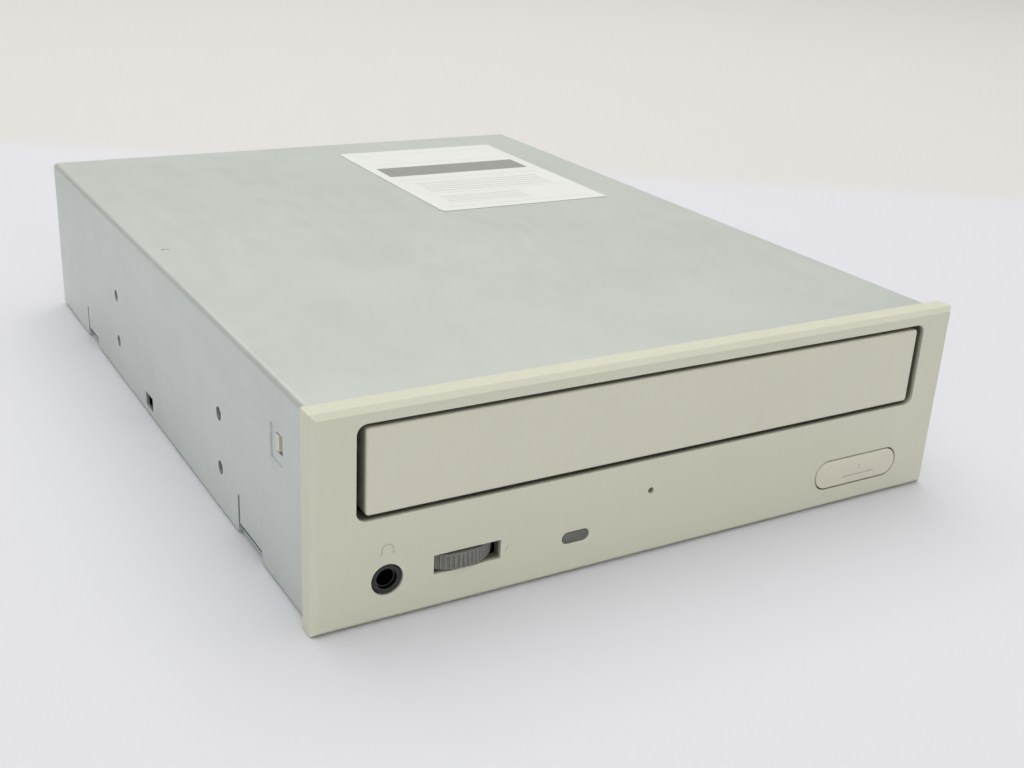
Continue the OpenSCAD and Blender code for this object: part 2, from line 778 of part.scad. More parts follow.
module eject_switch() color("#3A3A3C") placed() difference() {
  block([button_x - switch_w / 2, switch_front_y, board_top],
        [button_x + switch_w / 2, switch_front_y + switch_len, deck_z - slip]);
  translate([button_x, 0, button_z])
    along_y(switch_front_y - over, switch_front_y + switch_len - slip) circle(plunger_r + shaft_gap);
}

module volume_wheel() color("#80807A") placed() translate([wheel_x, wheel_y, wheel_z]) difference() {
  cylinder(r = wheel_r, h = wheel_t);
  translate([0, 0, -over]) cylinder(r = pot_shaft_r + shaft_gap, h = wheel_t + 2 * over);
  for (i = [0:wheel_rib_count - 1]) rotate(i * 360 / wheel_rib_count)
    translate([wheel_r - wheel_rib_depth, -wheel_rib_depth, -over])
      cube([2 * wheel_rib_depth, wheel_rib_depth, wheel_t + 2 * over]);
}

module volume_pot() color("#4C5560") placed() {
  block([wheel_x - pot_w / 2, board_front_y + slip, board_top],
        [wheel_x + pot_w / 2, board_front_y + pot_len, wheel_z - slip]);
  post(wheel_x, wheel_y, pot_shaft_r, wheel_z - over, wheel_z + wheel_t);
}

module headphone_jack() color("#222224") placed() difference() {
  union() {
    block([jack_x - jack_body_w / 2, board_front_y, board_top],
          [jack_x + jack_body_w / 2, board_front_y + jack_body_len, board_top + jack_body_h]);
    translate([jack_x, 0, jack_z]) along_y(plate_back_y - bezel_plate / 2, board_front_y + over)
      circle(jack_nose_r);
  }
  translate([jack_x, 0, jack_z])
    along_y(plate_back_y - bezel_plate / 2 - over, plate_back_y - bezel_plate / 2 + jack_bore_len)
      circle(jack_bore_r);
}

module status_lamp_lens() color("#78786C") placed() translate([lamp_x, 0, lamp_z])
  along_y(bezel_front_y, bezel_front_y + lens_len) pill(lamp_w - slip, lamp_h - slip);

module status_lamp() color("#D8D4A0") placed() {
  back_y = bezel_front_y + lens_len + slip;
  block([lamp_x - lamp_h, back_y, board_top], [lamp_x + lamp_h, back_y + lamp_h, lamp_z + lamp_h / 2]);
}

module main_circuit_board() color("#2F6B45") placed() difference() {
  block([-board_w / 2, board_front_y, board_z], [board_w / 2, board_back_y, board_top]);
  post(motor_x, drive_y, motor_r + board_motor_gap, board_z - over, board_top + over);
  both_sides() for (y = standoff_rows) post(standoff_x, y, board_hole_r, board_z - over, board_top + over);
}

module board_chips() color("#26262A") placed() for (i = [0:len(chip_shares) - 1])
  translate([chip_shares[i][0] * board_w, chip_shares[i][1] * board_back_y, board_top])
    linear_extrude(chip_h) square(chip_sizes[i], center = true);

module board_capacitors() color("#3B4A78") placed()
  for (c = cap_shares) post(c[0] * board_w, c[1] * board_back_y, cap_r, board_top, board_top + cap_h);

// An open-backed socket on the board's rear edge, for a row [left edge, width, height]
module socket(row, floor_len) {
  low = board_top + socket_lift;
  high = board_top + row[2];
  back_y = socket_front_y + socket_len;
  difference() {
    block([row[0], socket_front_y, low], [row[0] + row[1], back_y, high]);
    block([row[0] + socket_wall, socket_front_y + floor_len, low + socket_wall],
          [row[0] + row[1] - socket_wall, back_y + over, high - socket_wall]);
  }
}

module data_connector() color("#1F1F22") placed() difference() {
  socket(data_row, socket_floor);
  mid_x = data_row[0] + data_row[1] / 2;
  top_z = board_top + data_row[2];
  block([mid_x - 2 * socket_wall, socket_front_y + socket_floor, top_z - socket_wall - over],
        [mid_x + 2 * socket_wall, socket_front_y + socket_len + over, top_z + over]);
}

module power_connector() color("#E9E6DC") placed() difference() {
  socket(power_row, socket_floor);
  both_sides_of(power_row[0] + power_row[1] / 2) translate([power_row[0], 0, board_top + power_row[2]])
    rotate([0, 45, 0]) translate([-socket_wall, socket_front_y - over, -socket_wall])
      cube([2 * socket_wall, socket_len + 2 * over, 2 * socket_wall]);
}

// The children and their mirror image across the plane at x
module both_sides_of(x) {
  children();
  translate([2 * x, 0, 0]) mirror([1, 0, 0]) children();
}

module audio_connector() color("#2A2A2E") placed() socket(audio_row, socket_floor);

module digital_connector() color("#B8B4A6") placed() socket(digital_row, socket_floor);

module jumper_block() color("#1F1F22") placed()
  block([jumper_row[0], socket_front_y, board_top + socket_lift],
        [jumper_row[0] + jumper_row[1], socket_front_y + socket_floor, board_top + jumper_row[2]]);

// Places of a row's pins: columns at a pitch about the middle of the row
function pin_columns(row, count, pitch) =
  [for (i = [0:count - 1]) row[0] + row[1] / 2 + (i - (count - 1) / 2) * pitch];

function pin_height(row) = board_top + (row[2] + socket_lift) / 2;

module square_pins(columns, z, levels)
  for (x = columns, level = levels)
    block([x - pin_t / 2, socket_front_y + socket_floor + slip / 2, z + level - pin_t / 2],
          [x + pin_t / 2, socket_front_y + socket_floor + pin_len - slip, z + level + pin_t / 2]);

module connector_pins() color("#C8B070") placed() {
  data_columns = pin_columns(data_row, 20, pin_pitch);
  square_pins(data_columns, pin_height(data_row), [pin_pitch / 2]);
  square_pins([for (i = [0:19]) if (i != 9) data_columns[i]], pin_height(data_row), [-pin_pitch / 2]);
  square_pins(pin_columns(jumper_row, 3, pin_pitch), pin_height(jumper_row),
              [-pin_pitch / 2, pin_pitch / 2]);
  square_pins(pin_columns(audio_row, 4, pin_pitch - over), pin_height(audio_row), [0]);
  square_pins(pin_columns(digital_row, 2, pin_pitch - over), pin_height(digital_row), [0]);
  for (x = pin_columns(power_row, 4, power_pitch)) translate([x, 0, pin_height(power_row)])
    along_y(socket_front_y + socket_floor + slip / 2, socket_front_y + socket_floor + pin_len - slip)
      circle(power_pin_r);
}

module jumper_cap() color("#2C3F8C") placed() {
  x = pin_columns(jumper_row, 3, pin_pitch)[0];
  z = pin_height(jumper_row);
  difference() {
    block([x - pin_pitch / 2 + slip, socket_front_y + socket_floor + loose, z - cap_block_h / 2],
          [x + pin_pitch / 2 - slip, socket_front_y + socket_floor + pin_len - loose, z + cap_block_h / 2]);
    for (level = [-pin_pitch / 2, pin_pitch / 2])
      block([x - pin_t / 2 - shaft_gap, socket_front_y, z + level - pin_t / 2 - shaft_gap],
            [x + pin_t / 2 + shaft_gap, case_len + over, z + level + pin_t / 2 + shaft_gap]);
  }
}

module ribbon_cable() color("#D9DCE0") placed() {
  low = board_top + ribbon_t;
  mid = low + ribbon_bend_r;
  along_x(-ribbon_w / 2, ribbon_w / 2) {
    translate([ribbon_front_y, low - ribbon_t]) square([ribbon_turn_y - ribbon_front_y, ribbon_t]);
    translate([ribbon_end_y, mid + ribbon_bend_r - ribbon_t])
      square([ribbon_turn_y - ribbon_end_y, ribbon_t]);
    intersection() {
      difference() {
        translate([ribbon_turn_y, mid - ribbon_t / 2]) circle(ribbon_bend_r + ribbon_t / 2);
        translate([ribbon_turn_y, mid - ribbon_t / 2]) circle(ribbon_bend_r - ribbon_t / 2);
      }
      translate([ribbon_turn_y, board_top]) square([2 * ribbon_bend_r, 3 * ribbon_bend_r]);
    }
  }
}

// The screws that hold the drive pass through the chassis here
module mount_clearance() {
  out_x = case_w / 2;
  for (y = mount_rows, z = side_rows)
    translate([out_x - mount_clear_depth, y, z]) rotate([0, 90, 0])
      cylinder(r = mount_clear_r, h = mount_clear_depth);
  for (y = mount_rows) post(mount_pitch_x / 2, y, mount_clear_r, 0, mount_clear_depth);
}

module chassis_side() {
  block([chassis_in_x, chassis_front_y, chassis_low_z], [chassis_out_x, chassis_back_y, chassis_top_z]);
  block([ledge_in_x, chassis_front_y, tray_rail_z - rail_gap - ledge_t],
        [chassis_in_x + over, chassis_back_y, tray_rail_z - rail_gap]);
  block([ledge_in_x, chassis_front_y, tray_top_z + upper_ledge_gap],
        [chassis_in_x + over, chassis_back_y, tray_top_z + upper_ledge_gap + ledge_t]);
  for (y = cover_screw_rows)
    difference() {
      post(cover_screw_x, y, foot_r, sheet + screw_pad_h, deck_z + over);
      post(cover_screw_x, y, screw_shank_r + shaft_gap, sheet, deck_z);
    }
  for (side = [-1, 1])
    post(bridge_boss_x, spindle_y + side * (bridge_len / 2 - bridge_boss_r),
         bridge_boss_r, tray_top_z + upper_ledge_gap, chassis_top_z);
  difference() {
    union() {
      translate([0, pivot_y, pivot_z]) rotate([0, 90, 0])
        translate([0, 0, traverse_w / 2 + ear_gap]) cylinder(r = ear_r, h = ear_t);
      block([traverse_w / 2 + ear_gap, pivot_y - ear_r, deck_top - over],
            [traverse_w / 2 + ear_gap + ear_t, pivot_y + ear_r, pivot_z]);
    }
    translate([0, pivot_y, pivot_z]) rotate([0, 90, 0]) translate([0, 0, traverse_w / 2])
      cylinder(r = pivot_pin_r + shaft_gap, h = 2 * ear_t);
  }
}

module loading_chassis() color("#4A4B4E") placed() {
  difference() {
    union() {
      both_sides() chassis_side();
      difference() {
        block([-chassis_in_x - over, chassis_front_y, deck_z],
              [chassis_in_x + over, chassis_back_y, deck_top]);
        block([-deck_bay_x, deck_bay_y[0], deck_z - over], [deck_bay_x, deck_bay_y[1], deck_top + over]);
        block([deck_notch_x[0], 0, deck_z - over], [deck_notch_x[1], deck_notch_back_y, deck_top + over]);
        post(motor_x, drive_y, motor_boss_r + loose, deck_z - over, deck_top + over);
      }
      block([-chassis_in_x, chassis_back_y - chassis_wall, deck_z],
            [chassis_in_x, chassis_back_y, deck_z + back_wall_h]);
      for (x = [drive_x, pulley_x]) post(x, drive_y, post_r + 1, deck_z, pulley_z - slip);
      post(drive_x, drive_y, post_r, deck_z, pinion_top_z - over);
      post(drive_x, drive_y, post_r + 1, deck_z, wheel_gear_z - slip);
      post(pulley_x, drive_y, post_r, deck_z, wheel_gear_z + wheel_gear_t);
    }
    both_sides() {
      mount_clearance();
      for (side = [-1, 1])
        post(bridge_boss_x, spindle_y + side * (bridge_len / 2 - bridge_boss_r),
             clamp_screw_r + shaft_gap, tray_top_z, chassis_top_z + over);
      for (y = cover_screw_rows) post(cover_screw_x, y, screw_shank_r + shaft_gap, sheet, deck_z);
    }
  }
}

module clamp_bridge() color("#B9BFC2") placed() difference() {
  block([-chassis_out_x, spindle_y - bridge_len / 2, chassis_top_z],
        [chassis_out_x, spindle_y + bridge_len / 2, chassis_top_z + bridge_t]);
  post(0, spindle_y, bridge_hole_r, chassis_top_z - over, chassis_top_z + bridge_t + over);
  both_sides() for (side = [-1, 1])
    post(bridge_boss_x, spindle_y + side * (bridge_len / 2 - bridge_boss_r),
         clamp_screw_r + slip, chassis_top_z - over, chassis_top_z + bridge_t + over);
}

module bridge_screws() color("#8E9296") placed() both_sides() for (side = [-1, 1])
  translate([bridge_boss_x, spindle_y + side * (bridge_len / 2 - bridge_boss_r), chassis_top_z + bridge_t])
    difference() {
      union() {
        cylinder(r = clamp_screw_head_r, h = clamp_screw_head_h);
        translate([0, 0, -bridge_t - bridge_boss_r])
          cylinder(r = clamp_screw_r, h = bridge_t + bridge_boss_r);
      }
      cross_recess(clamp_screw_head_h, cross_depth);
    }

puck_flange_z = chassis_top_z + bridge_t + loose;
puck_top_z = puck_flange_z + puck_flange_t;

module clamp_puck() color("#E2E0D6") placed() translate([0, spindle_y, 0]) difference() {
  union() {
    translate([0, 0, puck_low_z]) cylinder(r = puck_r, h = puck_flange_z - puck_low_z);
    translate([0, 0, puck_flange_z]) cylinder(r = puck_flange_r, h = puck_flange_t);
  }
  translate([0, 0, puck_low_z - over]) cylinder(r = puck_recess_r, h = puck_recess_h + over);
  translate([0, 0, puck_top_z - magnet_t]) cylinder(r = magnet_r + slip, h = magnet_t + over);
}

module clamp_magnet() color("#6E7074") placed()
  post(0, spindle_y, magnet_r, puck_top_z - magnet_t, puck_top_z - slip);

module loading_motor() color("#AEB2B6") placed() {
  post(motor_x, drive_y, motor_r, motor_low_z, deck_z);
  post(motor_x, drive_y, motor_boss_r, deck_z - over, deck_top + slip);
  post(motor_x, drive_y, motor_shaft_r, deck_z, pulley_z + pulley_t);
}

// A grooved pulley at its place, with a bore
module pulley(r, bore_r) translate([0, 0, pulley_z]) rotate_extrude() polygon([
  [bore_r, 0], [r + groove_depth, 0], [r + groove_depth, pulley_t / 5], [r, pulley_t / 2 - belt_d / 4],
  [r, pulley_t / 2 + belt_d / 4], [r + groove_depth, pulley_t * 4 / 5], [r + groove_depth, pulley_t],
  [bore_r, pulley_t]]);

module motor_pulley() color("#D6C26A") placed() translate([motor_x, drive_y, 0])
  pulley(motor_pulley_r, motor_shaft_r + shaft_gap);

// Points on an arc about a place on the belt's middle line
function arc_points(x, r, from, to, steps) = [
  for (i = [0:steps]) let (angle = from + (to - from) * i / steps)
    [x + r * cos(angle), drive_y + r * sin(angle)]
];

// The line of the belt round both pulleys, out from their grooves by a depth
module belt_loop(depth) {
  big = pulley_r + shaft_gap + depth;
  small = motor_pulley_r + shaft_gap + depth;
  lean = asin((big - small) / (pulley_x - motor_x));
  polygon(concat(arc_points(motor_x, small, 90 + lean, 270 - lean, 24),
                 arc_points(pulley_x, big, -90 - lean, 90 + lean, 36)));
}

module drive_belt() color("#1C1C1C") placed()
  translate([0, 0, belt_z - belt_d / 4]) linear_extrude(belt_d / 2) difference() {
    belt_loop(belt_d);
    belt_loop(0);
  }

module pulley_gear() color("#F0EEE4") placed() translate([pulley_x, drive_y, 0]) {
  pulley(pulley_r, post_r + shaft_gap);
  difference() {
    union() {
      gear(pulley_teeth, wheel_module, 180 / pulley_teeth, wheel_gear_z, wheel_gear_z + wheel_gear_t);
      translate([0, 0, pulley_z]) cylinder(r = pulley_pinion_r - 1.2 * wheel_module,
                                           h = wheel_gear_z - pulley_z + slip);
    }
    translate([0, 0, pulley_z - over]) cylinder(r = post_r + shaft_gap, h = wheel_gear_z);
  }
}

module drive_gear() color("#F0EEE4") placed() translate([drive_x, drive_y, 0]) difference() {
  union() {
    gear(wheel_teeth, wheel_module, 0, wheel_gear_z, wheel_gear_z + wheel_gear_t);
    gear(pinion_teeth, rack_module, 0, wheel_gear_z + wheel_gear_t - slip, pinion_top_z);
  }
  translate([0, 0, wheel_gear_z - over]) cylinder(r = post_r + shaft_gap, h = pinion_top_z);
}

module cam_slider() color("#D9D6CA") placed() {
  low_z = pivot_z - cam_drop - pivot_pin_r - cam_edge;
  high_z = pivot_z + pivot_pin_r + cam_edge;
  difference() {
    union() {
      block([-cam_half_w, cam_y[0], low_z], [cam_half_w, cam_y[1], high_z]);
      block([-cam_half_w, cam_foot_front_y, deck_top + loose],
            [cam_half_w, cam_y[1], deck_top + loose + cam_foot_t]);
    }
    for (x = [-cam_pin_x, cam_pin_x]) along_y(cam_y[0] - over, cam_y[1] + over) {
      slot_between([x, pivot_z], [x - cam_travel, pivot_z - cam_drop], pivot_pin_r + cam_slot_gap);
      slot_between([x, pivot_z], [x + cam_dwell, pivot_z], pivot_pin_r + cam_slot_gap);
      slot_between([x - cam_travel, pivot_z - cam_drop], [x - cam_travel - cam_dwell, pivot_z - cam_drop],
                   pivot_pin_r + cam_slot_gap);
    }
  }
}

module traverse_frame() color("#8C8F92") placed() {
  half_w = traverse_w / 2;
  in_x = half_w - frame_rail;
  difference() {
    union() {
      block([-half_w, frame_y[0], frame_z[0]], [half_w, frame_y[1], frame_z[1]]);
      both_sides() block([in_x, frame_y[1] - over, frame_z[0]], [half_w, arm_end_y, frame_z[1]]);
    }
    block([-in_x, frame_y[0] + frame_rail / 2, frame_z[0] - over],
          [in_x, frame_y[1] - frame_rail / 2, frame_z[1] + over]);
    both_sides() for (y = damper_rows)
      post(damper_x, y, damper_screw_r, (frame_z[0] + frame_z[1]) / 2, frame_z[1] + over);
  }
  both_sides() {
    translate([0, pivot_y, pivot_z]) rotate([0, 90, 0]) translate([0, 0, half_w - over])
      cylinder(r = pivot_pin_r, h = over + ear_gap + ear_t);
    translate([cam_pin_x, 0, pivot_z]) along_y(cam_pin_front_y, frame_y[0] + over) circle(pivot_pin_r);
  }
}

module isolation_dampers() color("#3C3C40") placed() both_sides() for (y = damper_rows)
  translate([damper_x, y, frame_z[1]]) difference() {
    union() {
      cylinder(r = damper_r, h = damper_low_t);
      cylinder(r = damper_neck_r, h = damper_low_t + base_t);
      translate([0, 0, damper_low_t + base_t]) cylinder(r = damper_r, h = damper_top_t);
    }
    translate([0, 0, -over]) cylinder(r = damper_screw_r + shaft_gap, h = 2 * damper_r);
  }

module damper_screws() color("#8E9296") placed() both_sides() for (y = damper_rows)
  translate([damper_x, y, base_top + damper_top_t]) difference() {
    union() {
      cylinder(r = damper_r - slip, h = damper_screw_head_h);
      translate([0, 0, -base_t - damper_r - slip])
        cylinder(r = damper_screw_r - shaft_gap / 2, h = base_t + damper_r + slip);
    }
    cross_recess(damper_screw_head_h, cross_depth / 2);
  }

module rod_lug() for (y = [rod_y[0] - slip, base_window_y[1] + slip])
  difference() {
    block([rod_x - lug_w, y, rod_z - lug_w], [rod_x + lug_w, y + lug_t, base_z + base_t / 2]);
    translate([rod_x, 0, rod_z]) along_y(y - over, y + lug_t + over) circle(rod_r + shaft_gap);
  }

module pickup_base() color("#B4BABD") placed() {
  difference() {
    block([-base_half_w, base_y[0], base_z], [base_half_w, base_y[1], base_top]);
    block([-base_window_x, base_window_y[0], base_z - over],
          [base_window_x, base_window_y[1], base_top + over]);
    post(0, spindle_y, spindle_boss_r + slip, base_z - over, base_top + over);
    post(sled_gear_x, sled_motor_y, sled_shaft_r + loose, base_z - over, base_top + over);
    both_sides() for (y = damper_rows)
      post(damper_x, y, damper_neck_r + shaft_gap, base_z - over, base_top + over);
  }
  both_sides() rod_lug();
  post(sled_gear_x, sled_gear_y, sled_post_r, base_z, sled_wheel_z[1]);
}

module spindle_motor() color("#A9AEB3") placed() difference() {
  union() {
    post(0, spindle_y, spindle_can_r, spindle_can_z, base_z);
    post(0, spindle_y, spindle_boss_r, base_z - over, spindle_boss_z);
  }
  post(0, spindle_y, spindle_shaft_r + shaft_gap, spindle_can_z + sheet, spindle_boss_z + over);
}

module turntable() color("#2E2F33") placed() translate([0, spindle_y, 0]) {
  translate([0, 0, spindle_can_z + 2 * sheet])
    cylinder(r = spindle_shaft_r, h = turntable_z - spindle_can_z - sheet);
  difference() {
    translate([0, 0, turntable_z]) cylinder(r = turntable_r, h = turntable_t);
    translate([0, 0, turntable_z + turntable_t - pad_t]) difference() {
      cylinder(r = turntable_r - pad_t, h = pad_t + over);
      translate([0, 0, -over]) cylinder(r = pad_in_r, h = 3 * over);
    }
  }
  translate([0, 0, turntable_z + turntable_t - over]) cylinder(
    r = hub_r, h = hub_top_z - turntable_z - turntable_t - hub_r / 8 + over);
  translate([0, 0, hub_top_z - hub_r / 8]) cylinder(r1 = hub_r, r2 = hub_r * 3 / 4, h = hub_r / 8, $fn = 64);
}

module turntable_pad() color("#1A1A1A") placed()
  translate([0, spindle_y, turntable_z + turntable_t - pad_t]) difference() {
    cylinder(r = turntable_r - 2 * pad_t, h = 2 * pad_t);
    translate([0, 0, -over]) cylinder(r = pad_in_r + pad_t, h = 3 * over);
  }

module guide_rods() color("#D2D6DA") placed() both_sides()
  translate([rod_x, 0, rod_z]) along_y(rod_y[0], rod_y[1]) circle(rod_r);

module pickup_sled() color("#5A5C60") placed() difference() {
  union() {
    block([-sled_block_x, sled_y[0], sled_low_z], [sled_block_x, sled_y[1], sled_block_z]);
    block([-sled_wing_x, sled_y[0], sled_wing_z[0]], [sled_wing_x, sled_y[1], sled_wing_z[1]]);
  }
  both_sides() translate([rod_x, 0, rod_z])
    along_y(sled_y[0] - over, sled_y[1] + over) circle(rod_r + slip);
  post(0, lens_y, holder_pit_r, holder_pit_z, sled_block_z + over);
}

module actuator_cover() color("#1E1F22") placed() difference() {
  block([-cover_cap_x, sled_y[0] + slip, sled_block_z],
        [cover_cap_x, lens_y + cover_cap_y, sled_block_z + cover_cap_t]);
  post(0, lens_y, holder_pit_r, sled_block_z - over, sled_block_z + cover_cap_t + over);
}

module lens_holder() color("#2B2B2F") placed() difference() {
  post(0, lens_y, holder_r, holder_z[0], holder_z[1]);
  post(0, lens_y, lens_r, holder_z[0] - over, holder_z[1] + over);
}

module objective_lens() color("#9FB7D8") placed() translate([0, lens_y, holder_z[1] - lens_h]) {
  cylinder(r = lens_r - shaft_gap, h = lens_h);
  translate([0, 0, lens_h - slip]) intersection() {
    cylinder(r = lens_r - slip, h = lens_h);
    translate([0, 0, lens_h - 2 * lens_r]) sphere(2 * lens_r);
  }
}

// The rack on the sled: its gaps line up with the small sled gear's tooth
module sled_rack() color("#ECEAE0") placed() {
  pitch = PI * sled_rack_module;
  block([sled_rack_in_x, sled_rack_y[0], sled_rack_z[0]],
        [sled_rack_x - 1.2 * sled_rack_module, sled_rack_y[1], sled_rack_z[1]]);
  for (i = [ceil((sled_rack_y[0] - sled_gear_y) / pitch):floor((sled_rack_y[1] - sled_gear_y) / pitch) - 1])
    translate([sled_rack_x, sled_gear_y + (i + 0.5) * pitch, sled_rack_z[0]]) mirror([1, 0, 0])
      linear_extrude(sled_rack_z[1] - sled_rack_z[0]) rack_tooth(sled_rack_module);
}

module sled_gear() color("#F0EEE4") placed() translate([sled_gear_x, sled_gear_y, 0]) difference() {
  union() {
    gear(sled_small_teeth, sled_rack_module, 0, base_top + slip, sled_wheel_z[0] + slip);
    gear(sled_wheel_teeth, sled_wheel_module, 0, sled_wheel_z[0], sled_wheel_z[1]);
  }
  translate([0, 0, base_top - over]) cylinder(r = sled_post_r + shaft_gap, h = sled_wheel_z[1]);
}

module sled_motor() color("#AEB2B6") placed() {
  post(sled_gear_x, sled_motor_y, sled_motor_r, sled_motor_z, base_z);
  post(sled_gear_x, sled_motor_y, sled_shaft_r, base_z - over, sled_wheel_z[1]);
}

module sled_pinion() color("#D6C26A") placed() translate([sled_gear_x, sled_motor_y, 0]) difference() {
  gear(sled_pinion_teeth, sled_wheel_module, 90 + 180 / sled_pinion_teeth,
       base_top + loose, sled_wheel_z[1]);
  cylinder(r = sled_shaft_r + shaft_gap, h = chassis_top_z);
}

module cover_screws() color("#8E9296") placed() both_sides() for (y = cover_screw_rows)
  translate([cover_screw_x, y, screw_pad_h]) mirror([0, 0, 1]) difference() {
    union() {
      cylinder(r = screw_head_r, h = screw_head_h);
      translate([0, 0, -screw_len]) cylinder(r = screw_shank_r, h = screw_len);
    }
    cross_recess(screw_head_h, cross_depth);
  }

module label_sticker() color("#E2E4DE") placed()
  translate([label_place[0], label_place[1], case_h]) rotate(label_turn)
    linear_extrude(label_t) round_rect(label_size, label_r);

top_cover();
bottom_cover();
front_bezel();
tray_front_panel();
disc_tray();
eject_button();
eject_plunger();
eject_switch();
volume_wheel();
volume_pot();
headphone_jack();
status_lamp_lens();
status_lamp();
main_circuit_board();
board_chips();
board_capacitors();
data_connector();
power_connector();
audio_connector();
digital_connector();
jumper_block();
jumper_cap();
connector_pins();
ribbon_cable();
loading_chassis();
clamp_bridge();
bridge_screws();
clamp_puck();
clamp_magnet();
loading_motor();
motor_pulley();
drive_belt();
pulley_gear();
drive_gear();
cam_slider();
traverse_frame();
isolation_dampers();
damper_screws();
pickup_base();
spindle_motor();
turntable();
turntable_pad();
guide_rods();
pickup_sled();
actuator_cover();
lens_holder();
objective_lens();
sled_rack();
sled_gear();
sled_motor();
sled_pinion();
cover_screws();
label_sticker();
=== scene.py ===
"""Looks of the CD-ROM drive: a steel case, a cream bezel with its tray front and controls, and the works
inside.

The drive's sizes are in millimetres in this file and in metres in the scene. Its places count Y from the
back plane of the bezel, as the CAD source does, and `metres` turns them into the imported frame. Sizes of the
stage, the lights and the textures are in metres.
"""
import math

import bpy
import bmesh
import numpy as np
from mathutils import Matrix


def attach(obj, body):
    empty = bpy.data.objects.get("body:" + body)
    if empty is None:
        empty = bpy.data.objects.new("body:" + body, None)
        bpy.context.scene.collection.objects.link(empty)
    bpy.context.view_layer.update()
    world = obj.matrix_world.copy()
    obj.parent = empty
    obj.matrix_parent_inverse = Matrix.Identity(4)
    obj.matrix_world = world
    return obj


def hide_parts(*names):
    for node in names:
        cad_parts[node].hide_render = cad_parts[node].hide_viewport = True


MM = 0.001
MOUNT_MIDDLE_Y = 87.025
SMOOTH_ANGLE = math.radians(32)
FLAT_ANGLE = math.radians(0.5)
MERGE = 1e-6
CAD_MERGE = 2e-6

# Sizes of the real drive that the scene's own pieces share with the solids
BEZEL_FRONT_Y = -4.6
PLATE_BACK_Y = -2.1
CASE_TOP_Z = 41.3
PANEL_SIZE = (128.4, 16.5)
PANEL_MIDDLE_Z = 30.15
PANEL_BACK_Y = -0.6
JACK_PLACE = (-60.0, 8.5)
JACK_NOSE_Y = -3.35
JACK_LIP_Y = -4.35
JACK_NOSE_R = 3.0
JACK_BORE_R = 1.75
WHEEL_PLACE = (-44.9, 3.4)
WHEEL_LOW_Z = 7.65
WHEEL_R = 9.0
WHEEL_T = 3.0
WHEEL_BORE_R = 1.55
WHEEL_RIBS = 60
BUTTON_PLACE = (52.2, 7.85)
BUTTON_SIZE = (23.0, 6.3)
BUTTON_PROUD = 0.3
LAMP_PLACE = (-20.5, 8.0)
LAMP_SIZE = (5.9, 2.3)
LABEL_SIZE = (51.0, 70.0)
LABEL_MIDDLE = (32.9, 141.2)
LABEL_TURN = math.radians(-0.5)
LABEL_T = 0.1

# Where painted shade darkens the cream plastic in recesses: its depth behind the face, and the area inside the
# bezel's rim
SHADE_STARTS = 0.1
SHADE_FULL = 1.4
RIM_MIDDLE_Z = 21.15
RIM_HALF_W = 70.5
RIM_HALF_H = 19.1
RIM_FADE = 0.5

# Print of the label, in shares of its width from the left and of its length from the front
LABEL_BAND = {"Left": 0.055, "Right": 0.935, "Front": 0.55, "Back": 0.70}
LABEL_FIELDS = ({"Left": 0.12, "Right": 0.88, "Front": 0.28, "Back": 0.44},
                {"Left": 0.12, "Right": 0.60, "Front": 0.10, "Back": 0.22})
LABEL_RULES = (0.05, 0.25, 0.48, 0.76, 0.93)
RULE_T = 0.003

AWAY_FROM_CAMERA = (0.519, 0.855, 0.0)

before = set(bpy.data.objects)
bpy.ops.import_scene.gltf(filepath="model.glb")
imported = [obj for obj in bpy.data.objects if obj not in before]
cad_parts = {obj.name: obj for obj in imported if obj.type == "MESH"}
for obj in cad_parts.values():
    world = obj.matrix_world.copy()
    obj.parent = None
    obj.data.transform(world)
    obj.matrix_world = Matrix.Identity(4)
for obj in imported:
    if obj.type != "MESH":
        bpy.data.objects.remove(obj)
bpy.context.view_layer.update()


def metres(points):
    """Points in millimetres, with Y from the bezel's back plane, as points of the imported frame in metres."""
    points = np.asarray(points, float)
    return (points - np.array([0.0, MOUNT_MIDDLE_Y, 0.0])) * MM


def tone(code, gain=1.0):
    """A colour written as six hexadecimal digits, as linear red, green, blue and alpha times a gain."""
    value = np.array([int(code[i:i + 2], 16) for i in (0, 2, 4)]) / 255
    linear = np.where(value <= 0.04045, value / 12.92, ((value + 0.055) / 1.055) ** 2.4)
    return (*(float(v) for v in linear * gain), 1.0)


# Meshes

def mesh_piece(name, points, faces, uv=None):
    """A mesh object from arrays of points and of faces, with one UV pair for each corner of each face."""
    mesh = bpy.data.meshes.new(name)
    mesh.from_pydata(points, [], faces)
    if uv is not None:
        layer = mesh.uv_layers.new(name="print")
        layer.data.foreach_set("uv", np.asarray(uv, np.float32).ravel())
    mesh.update()
    piece = bpy.data.objects.new(name, mesh)
    bpy.context.scene.collection.objects.link(piece)
    return piece


def shaded(piece):
    """Shades the piece smooth, and sharp where two faces meet at more than the smooth angle."""
    piece.data.shade_smooth()
    piece.data.set_sharp_from_angle(angle=SMOOTH_ANGLE)
    return piece


def tidy_mesh(piece, merge=MERGE, flatten=False):
    """Merges points that coincide, drops empty faces, turns faces outwards and marks the sharp edges. To
    flatten also joins neighbouring faces that lie in one plane."""
    work = bmesh.new()
    work.from_mesh(piece.data)
    bmesh.ops.remove_doubles(work, verts=work.verts, dist=merge)
    bmesh.ops.dissolve_degenerate(work, edges=work.edges, dist=merge)
    if flatten:
        bmesh.ops.dissolve_limit(work, angle_limit=FLAT_ANGLE, verts=work.verts, edges=work.edges,
                                 delimit={"NORMAL"})
    bmesh.ops.recalc_face_normals(work, faces=work.faces)
    work.to_mesh(piece.data)
    work.free()
    return shaded(piece)


def ring_faces(rings, around):
    """Four-sided faces between neighbouring rings, each ring closed on itself."""
    row, column = np.meshgrid(np.arange(rings - 1), np.arange(around), indexing="ij")
    after = (column + 1) % around
    corners = [row * around + column, row * around + after,
               (row + 1) * around + after, (row + 1) * around + column]
    return np.stack(corners, axis=-1).reshape(-1, 4)


